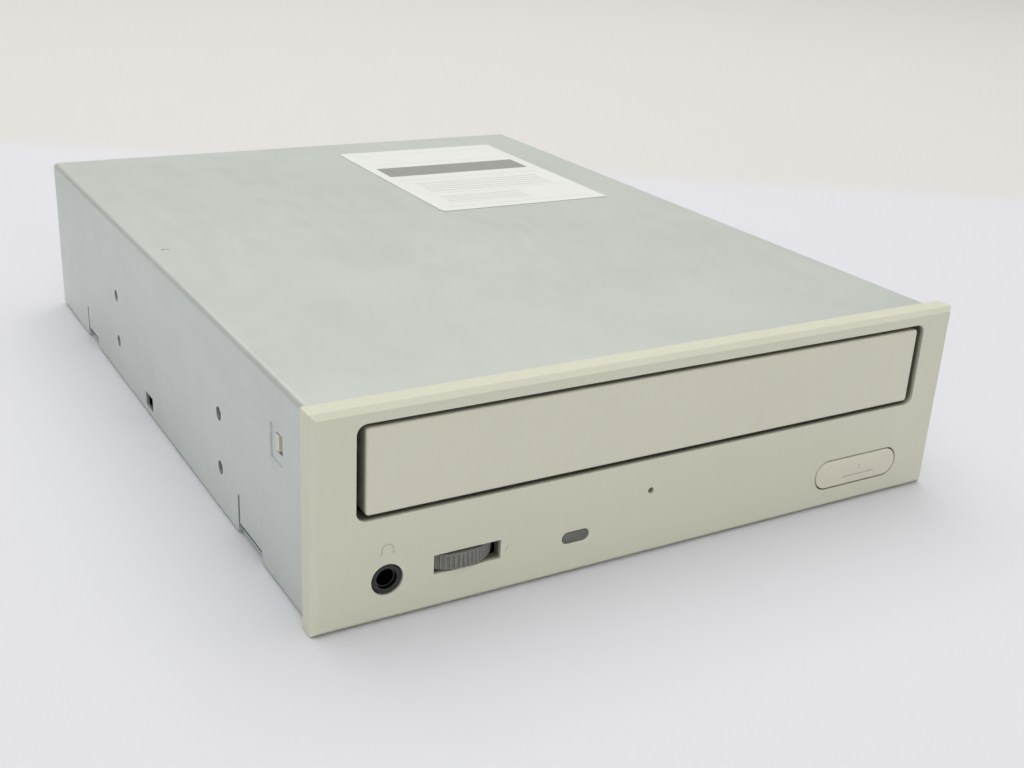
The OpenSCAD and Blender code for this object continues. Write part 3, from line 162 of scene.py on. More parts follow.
def loft(name, rings):
    """A closed skin through a stack of rings, an array of rings by points by 3, in millimetres.

    The first and the last ring shrink to a point or to a line, so that merging closes the skin."""
    rings = np.asarray(rings, float)
    faces = ring_faces(rings.shape[0], rings.shape[1])
    return tidy_mesh(mesh_piece(name, metres(rings.reshape(-1, 3)), faces))


def joined(name, pieces):
    """One object from several, each kept as its own closed skin."""
    points, faces, start = [], [], 0
    for piece in pieces:
        mesh = piece.data
        co = np.zeros(len(mesh.vertices) * 3)
        mesh.vertices.foreach_get("co", co)
        points.append(co.reshape(-1, 3))
        faces += [[v + start for v in face.vertices] for face in mesh.polygons]
        start += len(mesh.vertices)
        bpy.data.objects.remove(piece)
    return shaded(mesh_piece(name, np.concatenate(points), faces))


def rounded_outline(half_w, half_h, radius, corner, straight):
    """A rectangle with round corners about zero, anticlockwise: each corner is a quarter circle about a point
    that lies the radius inside both sides, and each side has points evenly between two corners."""
    turn = np.linspace(0, np.pi / 2, corner + 1)
    arms = [(1, 1), (-1, 1), (-1, -1), (1, -1)]
    parts = []
    for quarter, (sx, sz) in enumerate(arms):
        angle = turn + quarter * np.pi / 2
        middle = np.array([sx * (half_w - radius), sz * (half_h - radius)])
        parts.append(middle + radius * np.stack([np.cos(angle), np.sin(angle)], axis=-1))
    whole = []
    for part, following in zip(parts, parts[1:] + parts[:1]):
        share = np.linspace(0, 1, straight + 2)[1:-1, None]
        whole += [part, part[-1] * (1 - share) + following[0] * share]
    return np.concatenate(whole)


def pill_outline(length, height, inset, turn_steps, straight):
    """The outline of a bar with half-round ends, drawn in by an inset: two half circles of half the height
    less the inset about fixed middles, joined by straight runs."""
    radius = height / 2 - inset
    reach = (length - height) / 2
    angle = np.linspace(-np.pi / 2, np.pi / 2, turn_steps + 1)
    right = np.stack([reach + radius * np.cos(angle), radius * np.sin(angle)], axis=-1)
    left = np.stack([-reach - radius * np.cos(angle), -radius * np.sin(angle)], axis=-1)
    run = np.linspace(reach, -reach, straight + 2)[1:-1]
    top = np.stack([run, np.full(straight, radius)], axis=-1)
    low = np.stack([-run, np.full(straight, -radius)], axis=-1)
    return np.concatenate([right, top, left, low])


def ring_at(outline, y, place=(0.0, 0.0)):
    """An outline of (across, up) points, moved to its place and stood up at one depth."""
    return np.stack([outline[:, 0] + place[0], np.full(len(outline), y), outline[:, 1] + place[1]], axis=-1)


def revolved(name, middle, profile, steps, axis="z", ripple=None):
    """A closed profile of (radius, height) turned about an axis through the middle. A ripple gives the radius
    of each profile point at each angle."""
    profile = np.asarray(profile, float)
    angle = np.linspace(0, 2 * np.pi, steps, endpoint=False)
    radius = profile[:, :1] + np.zeros((1, steps))
    if ripple is not None:
        radius = ripple(radius, profile, angle)
    height = profile[:, 1:] + np.zeros((1, steps))
    side, up = radius * np.cos(angle), radius * np.sin(angle)
    local = np.stack([side, up, height] if axis == "z" else [side, height, up], axis=-1)
    rings = local + np.asarray(middle, float)
    return loft(name, np.concatenate([rings, rings[:1]]))


def arc(middle, radius, start, end, steps):
    """Points (across, along) on part of a circle, from one angle in degrees to another."""
    angle = np.radians(np.linspace(start, end, steps + 1))
    return np.stack([middle[0] + radius * np.cos(angle), middle[1] + radius * np.sin(angle)], axis=-1)


def rounded_edge(radius, face_y, steps):
    """Points (inset, y) on the quarter circle that leads from the side of a piece to its face."""
    return [(radius * (1 - c), face_y + radius * (1 - s)) for c, s in arc((0.0, 0.0), 1.0, 0, 90, steps)]


def domed_face(front, dome, edge_r, half, edge_steps, dome_steps):
    """Points (inset, y) over a rounded edge and on to the middle of a low dome, whose height falls by the
    square of the way from the middle to the edge."""
    stack = rounded_edge(edge_r, front + dome, edge_steps)
    for inset in np.linspace(edge_r, half, dome_steps + 1)[1:]:
        way = (inset - edge_r) / (half - edge_r)
        stack.append((inset, front + dome * (1 - way) ** 2))
    return stack


def softened(node, body, slot, width, segments=2):
    """A merged copy of a CAD node whose sharp edges are rounded by a width in millimetres."""
    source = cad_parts[node]
    piece = bpy.data.objects.new(node + "_dressed", source.data.copy())
    bpy.context.scene.collection.objects.link(piece)
    piece.data.materials.clear()
    tidy_mesh(piece, merge=CAD_MERGE, flatten=True)
    bevel = piece.modifiers.new("rounded_edges", "BEVEL")
    bevel.width = width * MM
    bevel.segments = segments
    bevel.limit_method = "ANGLE"
    bevel.angle_limit = SMOOTH_ANGLE
    bevel.use_clamp_overlap = True
    bevel.miter_outer = "MITER_ARC"
    even = piece.modifiers.new("flat_faces_stay_flat", "WEIGHTED_NORMAL")
    even.mode = "FACE_AREA"
    even.weight = 100
    even.keep_sharp = True
    return settled(piece, body, slot, node)


def settled(piece, body, slot, *nodes, finish=None):
    """The piece rides on its body and stands in for the named CAD nodes, which are hidden. Its finish is the
    one its slot names, unless another is named."""
    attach(piece, body)
    if nodes:
        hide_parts(*nodes)
    return dress(piece, finish or slot)


# Shader trees

class Bench:
    """One node tree and the few calls that fill it."""

    def __init__(self, tree):
        self.tree = tree

    def place(self, kind, inputs=None, **settings):
        """Adds a node, sets its options and feeds its inputs."""
        node = self.tree.nodes.new("ShaderNode" + kind)
        for key, value in settings.items():
            setattr(node, key, value)
        for key, value in (inputs or {}).items():
            self.feed(node.inputs[key], value)
        return node

    def feed(self, socket, value):
        """Links a socket to the input, or sets the input's own value."""
        if isinstance(value, bpy.types.NodeSocket):
            self.tree.links.new(value, socket)
        else:
            socket.default_value = value

    def maths(self, operation, first, second=0.0, third=0.0, clamp=False):
        """One step of arithmetic on numbers."""
        node = self.place("Math", {0: first, 1: second, 2: third}, operation=operation, use_clamp=clamp)
        return node.outputs[0]

    def vector(self, operation, first, second):
        """One step of arithmetic on vectors."""
        node = self.place("VectorMath", {0: first, 1: second}, operation=operation)
        return node.outputs["Value" if operation == "DOT_PRODUCT" else "Vector"]

    def ramp(self, value, low, high, to_low=0.0, to_high=1.0, smooth=True):
        """The value carried from one range to another, held at its ends."""
        node = self.place("MapRange", {"Value": value, "From Min": low, "From Max": high, "To Min": to_low,
                                       "To Max": to_high},
                          interpolation_type="SMOOTHSTEP" if smooth else "LINEAR")
        return node.outputs["Result"]

    def mix(self, share, first, second):
        """A mix of two colours, by the node's first factor, its colours A and B and its colour result."""
        node = self.place("Mix", {0: share, 6: first, 7: second}, data_type="RGBA")
        return node.outputs[2]

    def cover(self, shade, colour, mask, share=None):
        """The shade with a colour laid over it where the mask says, in full or at a share of the mask."""
        if share is not None:
            mask = self.maths("MULTIPLY", mask, share)
        return self.mix(mask, shade, colour)

    def noise(self, point, scale, detail=3.0, roughness=0.55):
        """Smooth noise from 0 to 1 at a point."""
        node = self.place("TexNoise", {"Vector": point, "Scale": scale, "Detail": detail,
                                       "Roughness": roughness})
        return node.outputs["Fac"]

    def object_point(self):
        """The place on the piece, in metres."""
        return self.place("TexCoord").outputs["Object"]


def new_group(name, numbers, outputs, vectors=()):
    """A shader group with named number and vector inputs and number outputs, and the bench to fill it."""
    tree = bpy.data.node_groups.new(name, "ShaderNodeTree")
    for label, value in numbers.items():
        tree.interface.new_socket(label, in_out="INPUT", socket_type="NodeSocketFloat").default_value = value
    for label, value in dict(vectors).items():
        made = tree.interface.new_socket(label, in_out="INPUT", socket_type="NodeSocketVector")
        made.default_value = value
    for label in outputs:
        tree.interface.new_socket(label, in_out="OUTPUT", socket_type="NodeSocketFloat")
    bench = Bench(tree)
    source = tree.nodes.new("NodeGroupInput")
    drain = tree.nodes.new("NodeGroupOutput")
    return tree, bench, source.outputs, drain.inputs


def make_blotch():
    """Broad uneven tone: noise at the given scale, stretched to use the whole range from 0 to 1."""
    tree, bench, take, give = new_group("blotch", {"Scale": 60.0, "Detail": 4.0}, ["Mask"])
    field = bench.noise(bench.object_point(), scale=take["Scale"], detail=take["Detail"])
    bench.feed(give["Mask"], bench.ramp(field, 0.3, 0.7))
    return tree


def make_grain():
    """Mould texture: fine noise with the rounded cells of a second, coarser pattern."""
    tree, bench, take, give = new_group("mould_grain", {"Scale": 2400.0}, ["Height"])
    point = bench.object_point()
    fine = bench.noise(point, scale=take["Scale"], detail=2.0, roughness=0.6)
    cells = bench.place("TexVoronoi", {"Vector": point, "Scale": bench.maths("MULTIPLY", take["Scale"], 0.6)},
                        feature="SMOOTH_F1")
    both = bench.maths("MULTIPLY_ADD", cells.outputs["Distance"], 0.5, fine)
    bench.feed(give["Height"], both)
    return tree


def make_streaks():
    """Rolling marks: noise whose place is squeezed by a factor along each axis."""
    tree, bench, take, give = new_group("rolling_marks", {"Scale": 100.0, "Detail": 5.0}, ["Mask"],
                                        {"Squeeze": (6.0, 0.5, 6.0)})
    point = bench.vector("MULTIPLY", bench.object_point(), take["Squeeze"])
    field = bench.noise(point, scale=take["Scale"], detail=take["Detail"], roughness=0.65)
    bench.feed(give["Mask"], bench.ramp(field, 0.25, 0.75))
    return tree


def make_edges():
    """Rubbed edges: how far the rounded normal leans from the true one, broken up by noise."""
    tree, bench, take, give = new_group("rubbed_edges", {"Radius": 0.0005, "Gain": 6.0}, ["Mask"])
    rounded = bench.place("Bevel", {"Radius": take["Radius"]}, samples=6)
    true = bench.place("NewGeometry")
    lean = bench.vector("DOT_PRODUCT", rounded.outputs["Normal"], true.outputs["Normal"])
    bare = bench.maths("MULTIPLY", bench.maths("SUBTRACT", 1.0, lean), take["Gain"], clamp=True)
    broken = bench.ramp(bench.noise(bench.object_point(), scale=900.0, detail=4.0, roughness=0.7), 0.3, 0.62)
    bench.feed(give["Mask"], bench.maths("MULTIPLY", bare, broken))
    return tree


def make_dust():
    """Settled dust: noise in patches, only where the face looks up."""
    tree, bench, take, give = new_group("settled_dust", {"Amount": 0.2}, ["Mask"])
    true = bench.place("NewGeometry")
    parts = bench.place("SeparateXYZ", {"Vector": true.outputs["Normal"]})
    facing = bench.ramp(parts.outputs["Z"], 0.5, 1.0)
    point = bench.object_point()
    patches = bench.ramp(bench.noise(point, scale=45.0, detail=5.0, roughness=0.65), 0.42, 0.75)
    specks = bench.ramp(bench.noise(point, scale=1600.0, detail=3.0, roughness=0.6), 0.5, 0.8)
    both = bench.maths("MULTIPLY", bench.maths("ADD", patches, specks), facing)
    bench.feed(give["Mask"], bench.maths("MULTIPLY", both, take["Amount"], clamp=True))
    return tree


def make_print_block():
    """A printed rectangle on the label: full ink between four limits of the print's own coordinates."""
    tree, bench, take, give = new_group(
        "print_block", {"Left": 0.0, "Right": 1.0, "Front": 0.0, "Back": 1.0, "Soft": 0.003}, ["Mask"])
    spot = bench.place("UVMap", uv_map="print")
    parts = bench.place("SeparateXYZ", {"Vector": spot.outputs["UV"]})
    ink = None
    for value, low, high in ((parts.outputs["X"], "Left", "Right"), (parts.outputs["Y"], "Front", "Back")):
        for edge, sign in ((low, 1.0), (high, -1.0)):
            gap = bench.maths("MULTIPLY", bench.maths("SUBTRACT", value, take[edge]), sign)
            inside = bench.maths("DIVIDE", gap, take["Soft"])
            held = bench.maths("ADD", inside, 0.5, clamp=True)
            ink = held if ink is None else bench.maths("MULTIPLY", ink, held)
    bench.feed(give["Mask"], ink)
    return tree


def make_print_rows():
    """Even bars across the label: ink over a share of each row, the same from end to end."""
    tree, bench, take, give = new_group("print_rows", {"Rows": 40.0, "Fill": 0.4}, ["Mask"])
    spot = bench.place("UVMap", uv_map="print")
    parts = bench.place("SeparateXYZ", {"Vector": spot.outputs["UV"]})
    run = bench.maths("FRACT", bench.maths("MULTIPLY", parts.outputs["Y"], take["Rows"]))
    bench.feed(give["Mask"], bench.maths("LESS_THAN", run, take["Fill"]))
    return tree


GROUPS = {"blotch": make_blotch(), "grain": make_grain(), "streaks": make_streaks(), "edges": make_edges(),
          "dust": make_dust(), "block": make_print_block(), "rows": make_print_rows()}


class Finish(Bench):
    """A material under way: its Principled shader, and the shared groups to feed it."""

    def __init__(self, name, **plain):
        self.material = bpy.data.materials.new(name)
        self.material.use_nodes = True
        super().__init__(self.material.node_tree)
        self.tree.nodes.clear()
        self.shader = self.place("BsdfPrincipled")
        out = self.place("OutputMaterial")
        self.tree.links.new(self.shader.outputs["BSDF"], out.inputs["Surface"])
        for key, value in plain.items():
            self.feed(self.shader.inputs[key.replace("_", " ")], value)

    def use(self, group, output="Mask", **inputs):
        """Places a shared group and gives one of its outputs."""
        node = self.tree.nodes.new("ShaderNodeGroup")
        node.node_tree = GROUPS[group]
        for key, value in inputs.items():
            self.feed(node.inputs[key], value)
        return node.outputs[output]

    def give(self, socket, value):
        """Feeds one of the Principled shader's inputs."""
        self.feed(self.shader.inputs[socket], value)

    def bump(self, height, depth):
        """Raises the surface by a height field times a depth in millimetres."""
        node = self.place("Bump", {"Height": height, "Distance": depth * MM, "Strength": 1.0})
        self.give("Normal", node.outputs["Normal"])


def plastic(name, colour, rough=0.45, depth=0.012, scale=2400.0, spread=0.05, rub=0.1, dust=0.0, **plain):
    """Moulded plastic: a colour with broad uneven tone, lighter rubbed edges, settled dust and a mould
    grain."""
    made = Finish(name, **plain)
    blotch = made.use("blotch", Scale=38.0)
    grain = made.use("grain", "Height", Scale=scale)
    shade = made.mix(blotch, tone(colour, 1 + spread), tone(colour, 1 - spread))
    shade = made.cover(shade, tone("F4F2EA"), made.use("edges", Radius=0.0004, Gain=5.0), rub)
    shade = made.cover(shade, tone("CFCBC0"), made.use("dust", Amount=dust))
    made.give("Base Color", shade)
    made.give("Roughness", made.ramp(grain, 0.2, 1.0, rough - 0.05, rough + 0.06, smooth=False))
    made.bump(grain, depth)
    return made.material


def metal(name, colour, rough=0.4, squeeze=(5.0, 0.4, 5.0), spread=0.06, depth=0.004, dust=0.0, rub=0.3):
    """Bare or plated metal: rolling marks in tone, roughness and height, brighter rubbed edges and dust."""
    made = Finish(name, Metallic=1.0)
    streaks = made.use("streaks", Scale=120.0, Squeeze=squeeze)
    blotch = made.use("blotch", Scale=24.0, Detail=5.0)
    shade = made.mix(blotch, tone(colour, 1 + spread), tone(colour, 1 - spread))
    shade = made.cover(shade, tone(colour, 1 - 2 * spread), streaks, 0.35)
    shade = made.cover(shade, tone("F2F4F2"), made.use("edges", Radius=0.0003, Gain=6.0), rub)
    shade = made.cover(shade, tone("D2D0C8"), made.use("dust", Amount=dust))
    made.give("Base Color", shade)
    both = made.maths("ADD", made.maths("MULTIPLY", streaks, 0.6), made.maths("MULTIPLY", blotch, 0.4))
    made.give("Roughness", made.ramp(both, 0.0, 1.0, rough - 0.06, rough + 0.07, smooth=False))
    made.bump(streaks, depth)
    return made.material


def case_steel(name, colour):
    """Zinc plate: faint crystals with soft edges, rolling marks along the case, a few handling smears."""
    made = Finish(name, Metallic=0.85)
    point = made.object_point()
    crystals = made.place("TexVoronoi", {"Vector": point, "Scale": 160.0, "Randomness": 1.0})
    crystal = made.place("SeparateXYZ", {"Vector": crystals.outputs["Color"]}).outputs["X"]
    streaks = made.use("streaks", Scale=90.0, Squeeze=(4.0, 0.35, 4.0))
    blotch = made.use("blotch", Scale=16.0, Detail=5.0)
    smear = made.ramp(made.noise(point, scale=9.0, detail=3.0, roughness=0.5), 0.5, 0.75)
    shade = made.mix(blotch, tone(colour, 1.02), tone(colour, 0.95))
    shade = made.cover(shade, tone(colour, 0.9), crystal, 0.10)
    shade = made.cover(shade, tone(colour, 0.9), streaks, 0.18)
    shade = made.cover(shade, tone("F3F5F1"), made.use("edges", Radius=0.0006, Gain=4.0), 0.45)
    shade = made.cover(shade, tone("D8D7D0"), made.use("dust", Amount=0.05))
    made.give("Base Color", shade)
    uneven = made.maths("ADD", made.maths("MULTIPLY", crystal, 0.3), made.maths("MULTIPLY", streaks, 0.4))
    uneven = made.maths("ADD", uneven, made.maths("MULTIPLY", smear, 0.5))
    made.give("Roughness", made.ramp(uneven, 0.0, 1.2, 0.44, 0.58, smooth=False))
    made.bump(made.maths("ADD", streaks, made.maths("MULTIPLY", crystal, 0.3)), 0.006)
    return made.material


def recess_shade_mask(made, point):
    """Painted shade for the recesses of the front, by how deep a point lies: from none just behind the face to
    full a little deeper. It keeps to the area inside the bezel's rim, so the outer sides stay unshaded."""
    spot = made.place("SeparateXYZ", {"Vector": point}).outputs
    face = (BEZEL_FRONT_Y - MOUNT_MIDDLE_Y) * MM
    deep = made.ramp(spot["Y"], face + SHADE_STARTS * MM, face + SHADE_FULL * MM)
    across = made.maths("ABSOLUTE", spot["X"])
    up = made.maths("ABSOLUTE", made.maths("SUBTRACT", spot["Z"], RIM_MIDDLE_Z * MM))
    for distance, limit in ((across, RIM_HALF_W), (up, RIM_HALF_H)):
        inside = made.ramp(distance, (limit - RIM_FADE) * MM, limit * MM, 1.0, 0.0)
        deep = made.maths("MULTIPLY", deep, inside)
    return deep


def cream_plastic(name, colour, rough=0.42, recess_shade=0.8):
    """Cream with a faint yellowing in patches, a fine spark grain, soft bright edges and painted shade that
    darkens the recesses."""
    made = Finish(name)
    point = made.object_point()
    yellowing = made.ramp(made.noise(point, scale=14.0, detail=4.0, roughness=0.6), 0.35, 0.7)
    blotch = made.use("blotch", Scale=120.0, Detail=3.0)
    grain = made.use("grain", "Height", Scale=3200.0)
    shade = made.cover(tone(colour), tone(colour, 0.955), yellowing, 0.35)
    shade = made.cover(shade, tone(colour, 0.93), blotch, 0.12)
    shade = made.cover(shade, tone("F1EEE2"), made.use("edges", Radius=0.0005, Gain=3.0), 0.25)
    # painted shade: recess walls are darkened towards a dark brown-grey the deeper they lie behind the face
    shade = made.cover(shade, tone("3B382F"), recess_shade_mask(made, point), recess_shade)
    made.give("Base Color", shade)
    made.give("Roughness", made.ramp(grain, 0.2, 1.1, rough - 0.05, rough + 0.07, smooth=False))
    made.bump(grain, 0.010)
    return made.material


def board_laminate(name):
    """Circuit board: green mask over paler copper runs that turn at right angles, with bright solder dots."""
    made = Finish(name, Coat_Weight=0.3, Coat_Roughness=0.15)
    point = made.object_point()
    runs = made.place("TexBrick", {"Vector": point, "Scale": 90.0, "Mortar Size": 0.06, "Mortar Smooth": 0.1,
                                   "Brick Width": 0.9, "Row Height": 0.22})
    cross = made.place("TexVoronoi", {"Vector": point, "Scale": 240.0, "Randomness": 0.75},
                       distance="MANHATTAN")
    lines = made.ramp(cross.outputs["Distance"], 0.33, 0.37)
    copper = made.maths("MAXIMUM", made.maths("MULTIPLY", runs.outputs["Fac"], 0.8), lines)
    dots = made.maths("LESS_THAN", cross.outputs["Distance"], 0.1)
    shade = made.cover(tone("1F5A38"), tone("3B7D50"), copper, 0.6)
    shade = made.cover(shade, tone("B9BDBA"), dots, 0.9)
    made.give("Base Color", shade)
    made.give("Roughness", made.ramp(copper, 0.0, 1.0, 0.32, 0.42))
    made.bump(copper, 0.02)
    return made.material


def label_paper(name):
    """Label: white paper with one grey band, two fields of even bars and thin rules, all plain."""
    made = Finish(name)
    fibre = made.noise(made.object_point(), scale=1800.0, detail=4.0, roughness=0.7)
    shade = made.mix(fibre, tone("ECEEE8"), tone("DFE1DA"))
    band = made.use("block", **LABEL_BAND)
    shade = made.cover(shade, tone("8E9088"), band, 0.92)
    for field in LABEL_FIELDS:
        bars = made.maths("MULTIPLY", made.use("block", **field), made.use("rows", Rows=32.0, Fill=0.4))
        shade = made.cover(shade, tone("5E605C"), bars, 0.22)
    for front in LABEL_RULES:
        rule = made.use("block", Left=0.07, Right=0.93, Front=front, Back=front + RULE_T, Soft=0.002)
        shade = made.cover(shade, tone("5E605C"), rule, 0.35)
    made.give("Base Color", shade)
    made.give("Roughness", made.ramp(band, 0.0, 1.0, 0.62, 0.5))
    made.bump(fibre, 0.006)
    return made.material


def smoked_window(name):
    """Lamp window: grey smoked plastic, clear enough to hint at the lamp, with faint flow marks."""
    made = Finish(name, Transmission_Weight=0.35, IOR=1.49, Coat_Weight=0.4, Coat_Roughness=0.1)
    flow = made.use("streaks", Scale=220.0, Squeeze=(1.0, 3.0, 4.0))
    made.give("Base Color", made.mix(flow, tone("85857A"), tone("6E6E64")))
    made.give("Roughness", made.ramp(flow, 0.0, 1.0, 0.16, 0.26))
    made.bump(flow, 0.004)
    return made.material


def lens_glass(name):
    """Objective lens: clear glass with a thin blue-green coating."""
    made = Finish(name, Transmission_Weight=0.9, IOR=1.6, Coat_Weight=1.0, Coat_Roughness=0.02)
    made.give("Base Color", made.mix(made.use("blotch", Scale=300.0), tone("C9DDF2"), tone("B4CFEA")))
    made.give("Roughness", made.ramp(made.use("blotch", Scale=500.0), 0.0, 1.0, 0.02, 0.05))
    return made.material


MATERIALS = {
    "cover_steel": case_steel("zinc_cover", "D3D9D3"),
    "base_steel": case_steel("zinc_base", "CBD2CF"),
    "bezel_plastic": cream_plastic("cream_bezel", "DBDAC5"),
    "tray_front_plastic": cream_plastic("cream_tray_front", "DFDCC8", recess_shade=0.6),
    "button_plastic": cream_plastic("cream_button", "E1DDC9", rough=0.38),
    "mark_plastic": cream_plastic("moulded_marks", "BDBCAA", rough=0.5),
    "tray_plastic": plastic("tray_black", "2E2F32", rough=0.5, depth=0.02, scale=1800.0, rub=0.15,
                            dust=0.035),
    "wheel_plastic": plastic("wheel_grey", "7C7C76", rough=0.5, depth=0.01, rub=0.25),
    "jack_plastic": plastic("jack_black", "0C0C0F", rough=0.28, depth=0.002, rub=0.05, Coat_Weight=0.3,
                            Coat_Roughness=0.08),
    "lamp_window": smoked_window("smoked_lamp_window"),
    "lamp_body": plastic("lamp_epoxy", "C9C58E", rough=0.2, depth=0.002, Transmission_Weight=0.5),
    "switch_plastic": plastic("switch_black", "2B2B2E", rough=0.5),
    "plunger_plastic": plastic("plunger_ivory", "E4E0D2", rough=0.4),
    "board_laminate": board_laminate("board_green"),
    "chip_plastic": plastic("chip_epoxy", "232326", rough=0.62, depth=0.01, scale=4000.0),
    "capacitor_sleeve": plastic("capacitor_blue", "34447A", rough=0.3, depth=0.003),
    "socket_black": plastic("socket_black", "1E1E21", rough=0.5, depth=0.012, rub=0.2),
    "socket_ivory": plastic("socket_ivory", "E6E3D8", rough=0.42, depth=0.01, dust=0.05),
    "socket_grey": plastic("socket_grey", "B4B0A2", rough=0.45, depth=0.01),
    "jumper_blue": plastic("jumper_blue", "26398A", rough=0.4, depth=0.008),
    "pin_gold": metal("pin_gold", "D2B672", rough=0.28, squeeze=(2.0, 0.5, 2.0), depth=0.002),
    "ribbon_film": plastic("ribbon_white", "DDE0E3", rough=0.4, depth=0.004),
    "chassis_plastic": plastic("chassis_grey", "46474A", rough=0.55, depth=0.02, scale=1600.0, dust=0.05),
    "clamp_steel": metal("clamp_zinc", "B9BFC2", rough=0.42, dust=0.08),
    "puck_plastic": plastic("puck_ivory", "E0DED3", rough=0.4),
    "magnet_metal": metal("magnet_nickel", "8B8D90", rough=0.3),
    "motor_steel": metal("motor_can", "B6BABD", rough=0.32, squeeze=(0.5, 0.5, 6.0)),
    "pulley_brass": metal("pulley_brass", "BFA56C", rough=0.3, squeeze=(0.5, 0.5, 6.0)),
    "belt_rubber": plastic("belt_rubber", "191919", rough=0.7, depth=0.01),
    "gear_plastic": plastic("gear_acetal", "ECEADF", rough=0.35, depth=0.004, spread=0.03),
    "slider_plastic": plastic("slider_acetal", "D6D3C6", rough=0.38, depth=0.006),
    "frame_plastic": plastic("frame_grey", "85888B", rough=0.5, depth=0.015),
    "damper_rubber": plastic("damper_rubber", "2E2E31", rough=0.75, depth=0.02),
    "base_plate": metal("pickup_plate", "B4BABD", rough=0.36, dust=0.05),
    "turntable_plastic": plastic("turntable_black", "28292C", rough=0.42, depth=0.006),
    "pad_rubber": plastic("pad_rubber", "161616", rough=0.85, depth=0.02),
    "rod_steel": metal("rod_ground", "D8DCDF", rough=0.16, squeeze=(1.0, 6.0, 1.0), depth=0.001, rub=0.0),
    "sled_metal": metal("sled_diecast", "75777B", rough=0.5, squeeze=(1.0, 1.0, 1.0), depth=0.02),
    "pickup_black": plastic("pickup_black", "1D1E20", rough=0.45, depth=0.008),
    "lens_glass": lens_glass("objective_glass"),
    "screw_steel": metal("screw_zinc", "A3A7AA", rough=0.3, squeeze=(2.0, 2.0, 2.0), depth=0.004),
    "label_paper": label_paper("label_paper"),
}

# The finish of each CAD node that stays as it is
NODE_FINISH = {
    "eject_plunger": "plunger_plastic", "eject_switch": "switch_plastic", "volume_pot": "switch_plastic",
    "headphone_jack": "jack_plastic", "status_lamp": "lamp_body", "main_circuit_board": "board_laminate",
    "board_chips": "chip_plastic", "board_capacitors": "capacitor_sleeve", "data_connector": "socket_black",
    "power_connector": "socket_ivory", "audio_connector": "socket_black", "digital_connector": "socket_grey",
    "jumper_block": "socket_black", "jumper_cap": "jumper_blue", "connector_pins": "pin_gold",
    "ribbon_cable": "ribbon_film", "loading_chassis": "chassis_plastic", "clamp_bridge": "clamp_steel",
    "bridge_screws": "screw_steel", "clamp_puck": "puck_plastic", "clamp_magnet": "magnet_metal",
    "loading_motor": "motor_steel", "motor_pulley": "pulley_brass", "drive_belt": "belt_rubber",
    "pulley_gear": "gear_plastic", "drive_gear": "gear_plastic", "cam_slider": "slider_plastic",
    "traverse_frame": "frame_plastic", "isolation_dampers": "damper_rubber", "damper_screws": "screw_steel",
    "pickup_base": "base_plate", "spindle_motor": "motor_steel", "turntable": "turntable_plastic",
    "turntable_pad": "pad_rubber", "guide_rods": "rod_steel", "pickup_sled": "sled_metal",
    "actuator_cover": "pickup_black", "lens_holder": "pickup_black", "objective_lens": "lens_glass",
    "sled_rack": "gear_plastic", "sled_gear": "gear_plastic", "sled_motor": "motor_steel",
    "sled_pinion": "pulley_brass", "cover_screws": "screw_steel",
}


def dress(piece, finish):
    """Gives the piece one finish in every slot."""
    piece.data.materials.clear()
    piece.data.materials.append(MATERIALS[finish])
    return piece


for node_name, finish_name in NODE_FINISH.items():
    dress(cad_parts[node_name], finish_name)


# The scene's own pieces

def make_panel():
    """Front of the tray: a rectangle with small round corners, carried back, with its front edges rounded by
    a quarter circle and its back edges by a small chamfer."""
    half_w, half_h = PANEL_SIZE[0] / 2, PANEL_SIZE[1] / 2
    edge_r, chamfer, corner_r, least_r, face_band = 0.55, 0.3, 0.7, 0.02, 1.2
    stack = [(half_h, PANEL_BACK_Y), (chamfer, PANEL_BACK_Y), (0.0, PANEL_BACK_Y - chamfer)]
    stack += rounded_edge(edge_r, BEZEL_FRONT_Y, 6)
    stack += [(face_band, BEZEL_FRONT_Y), (half_h, BEZEL_FRONT_Y)]
    rings = []
    for inset, y in stack:
        radius = max(corner_r - inset, least_r) if inset < half_h else 0.0
        flat = rounded_outline(half_w - inset, half_h - inset, radius, 6, 30)
        rings.append(ring_at(flat, y, (0.0, PANEL_MIDDLE_Z)))
    settled(loft("tray_front", rings), "tray", "tray_front_plastic", "tray_front_panel")


def make_button():
    """Eject button: a bar with half-round ends. Its face is a low dome, and behind it stand the flange and
    the stem."""
    length, height = BUTTON_SIZE
    half, edge_r, dome = height / 2, 0.45, 0.12
    flange_gap, flange_w, flange_t = 0.1, 0.7, 1.0
    stem_half_w, stem_half_h, stem_r, stem_sink, stem_back = 2.0, 1.5, 0.3, 0.2, 3.4
    flange_front = PLATE_BACK_Y + flange_gap
    flange_back = flange_front + flange_t
    stack = [(half, flange_back), (-flange_w, flange_back), (-flange_w, flange_front), (0.0, flange_front)]
    stack += domed_face(BEZEL_FRONT_Y - BUTTON_PROUD, dome, edge_r, half, 6, 8)
    rings = [ring_at(pill_outline(length, height, inset, 14, 40), y, BUTTON_PLACE) for inset, y in stack]
    cap = loft("button_cap", rings)
    stem = rounded_outline(stem_half_w, stem_half_h, stem_r, 4, 2)
    stem_front = flange_back - stem_sink
    stem_stack = ((0.0, stem_front), (1.0, stem_front), (1.0, stem_back), (0.0, stem_back))
    stem_rings = [ring_at(stem * share, y, BUTTON_PLACE) for share, y in stem_stack]
    piece = joined("eject_key", [cap, loft("button_stem", stem_rings)])
    settled(piece, "eject_button", "button_plastic", "eject_button")


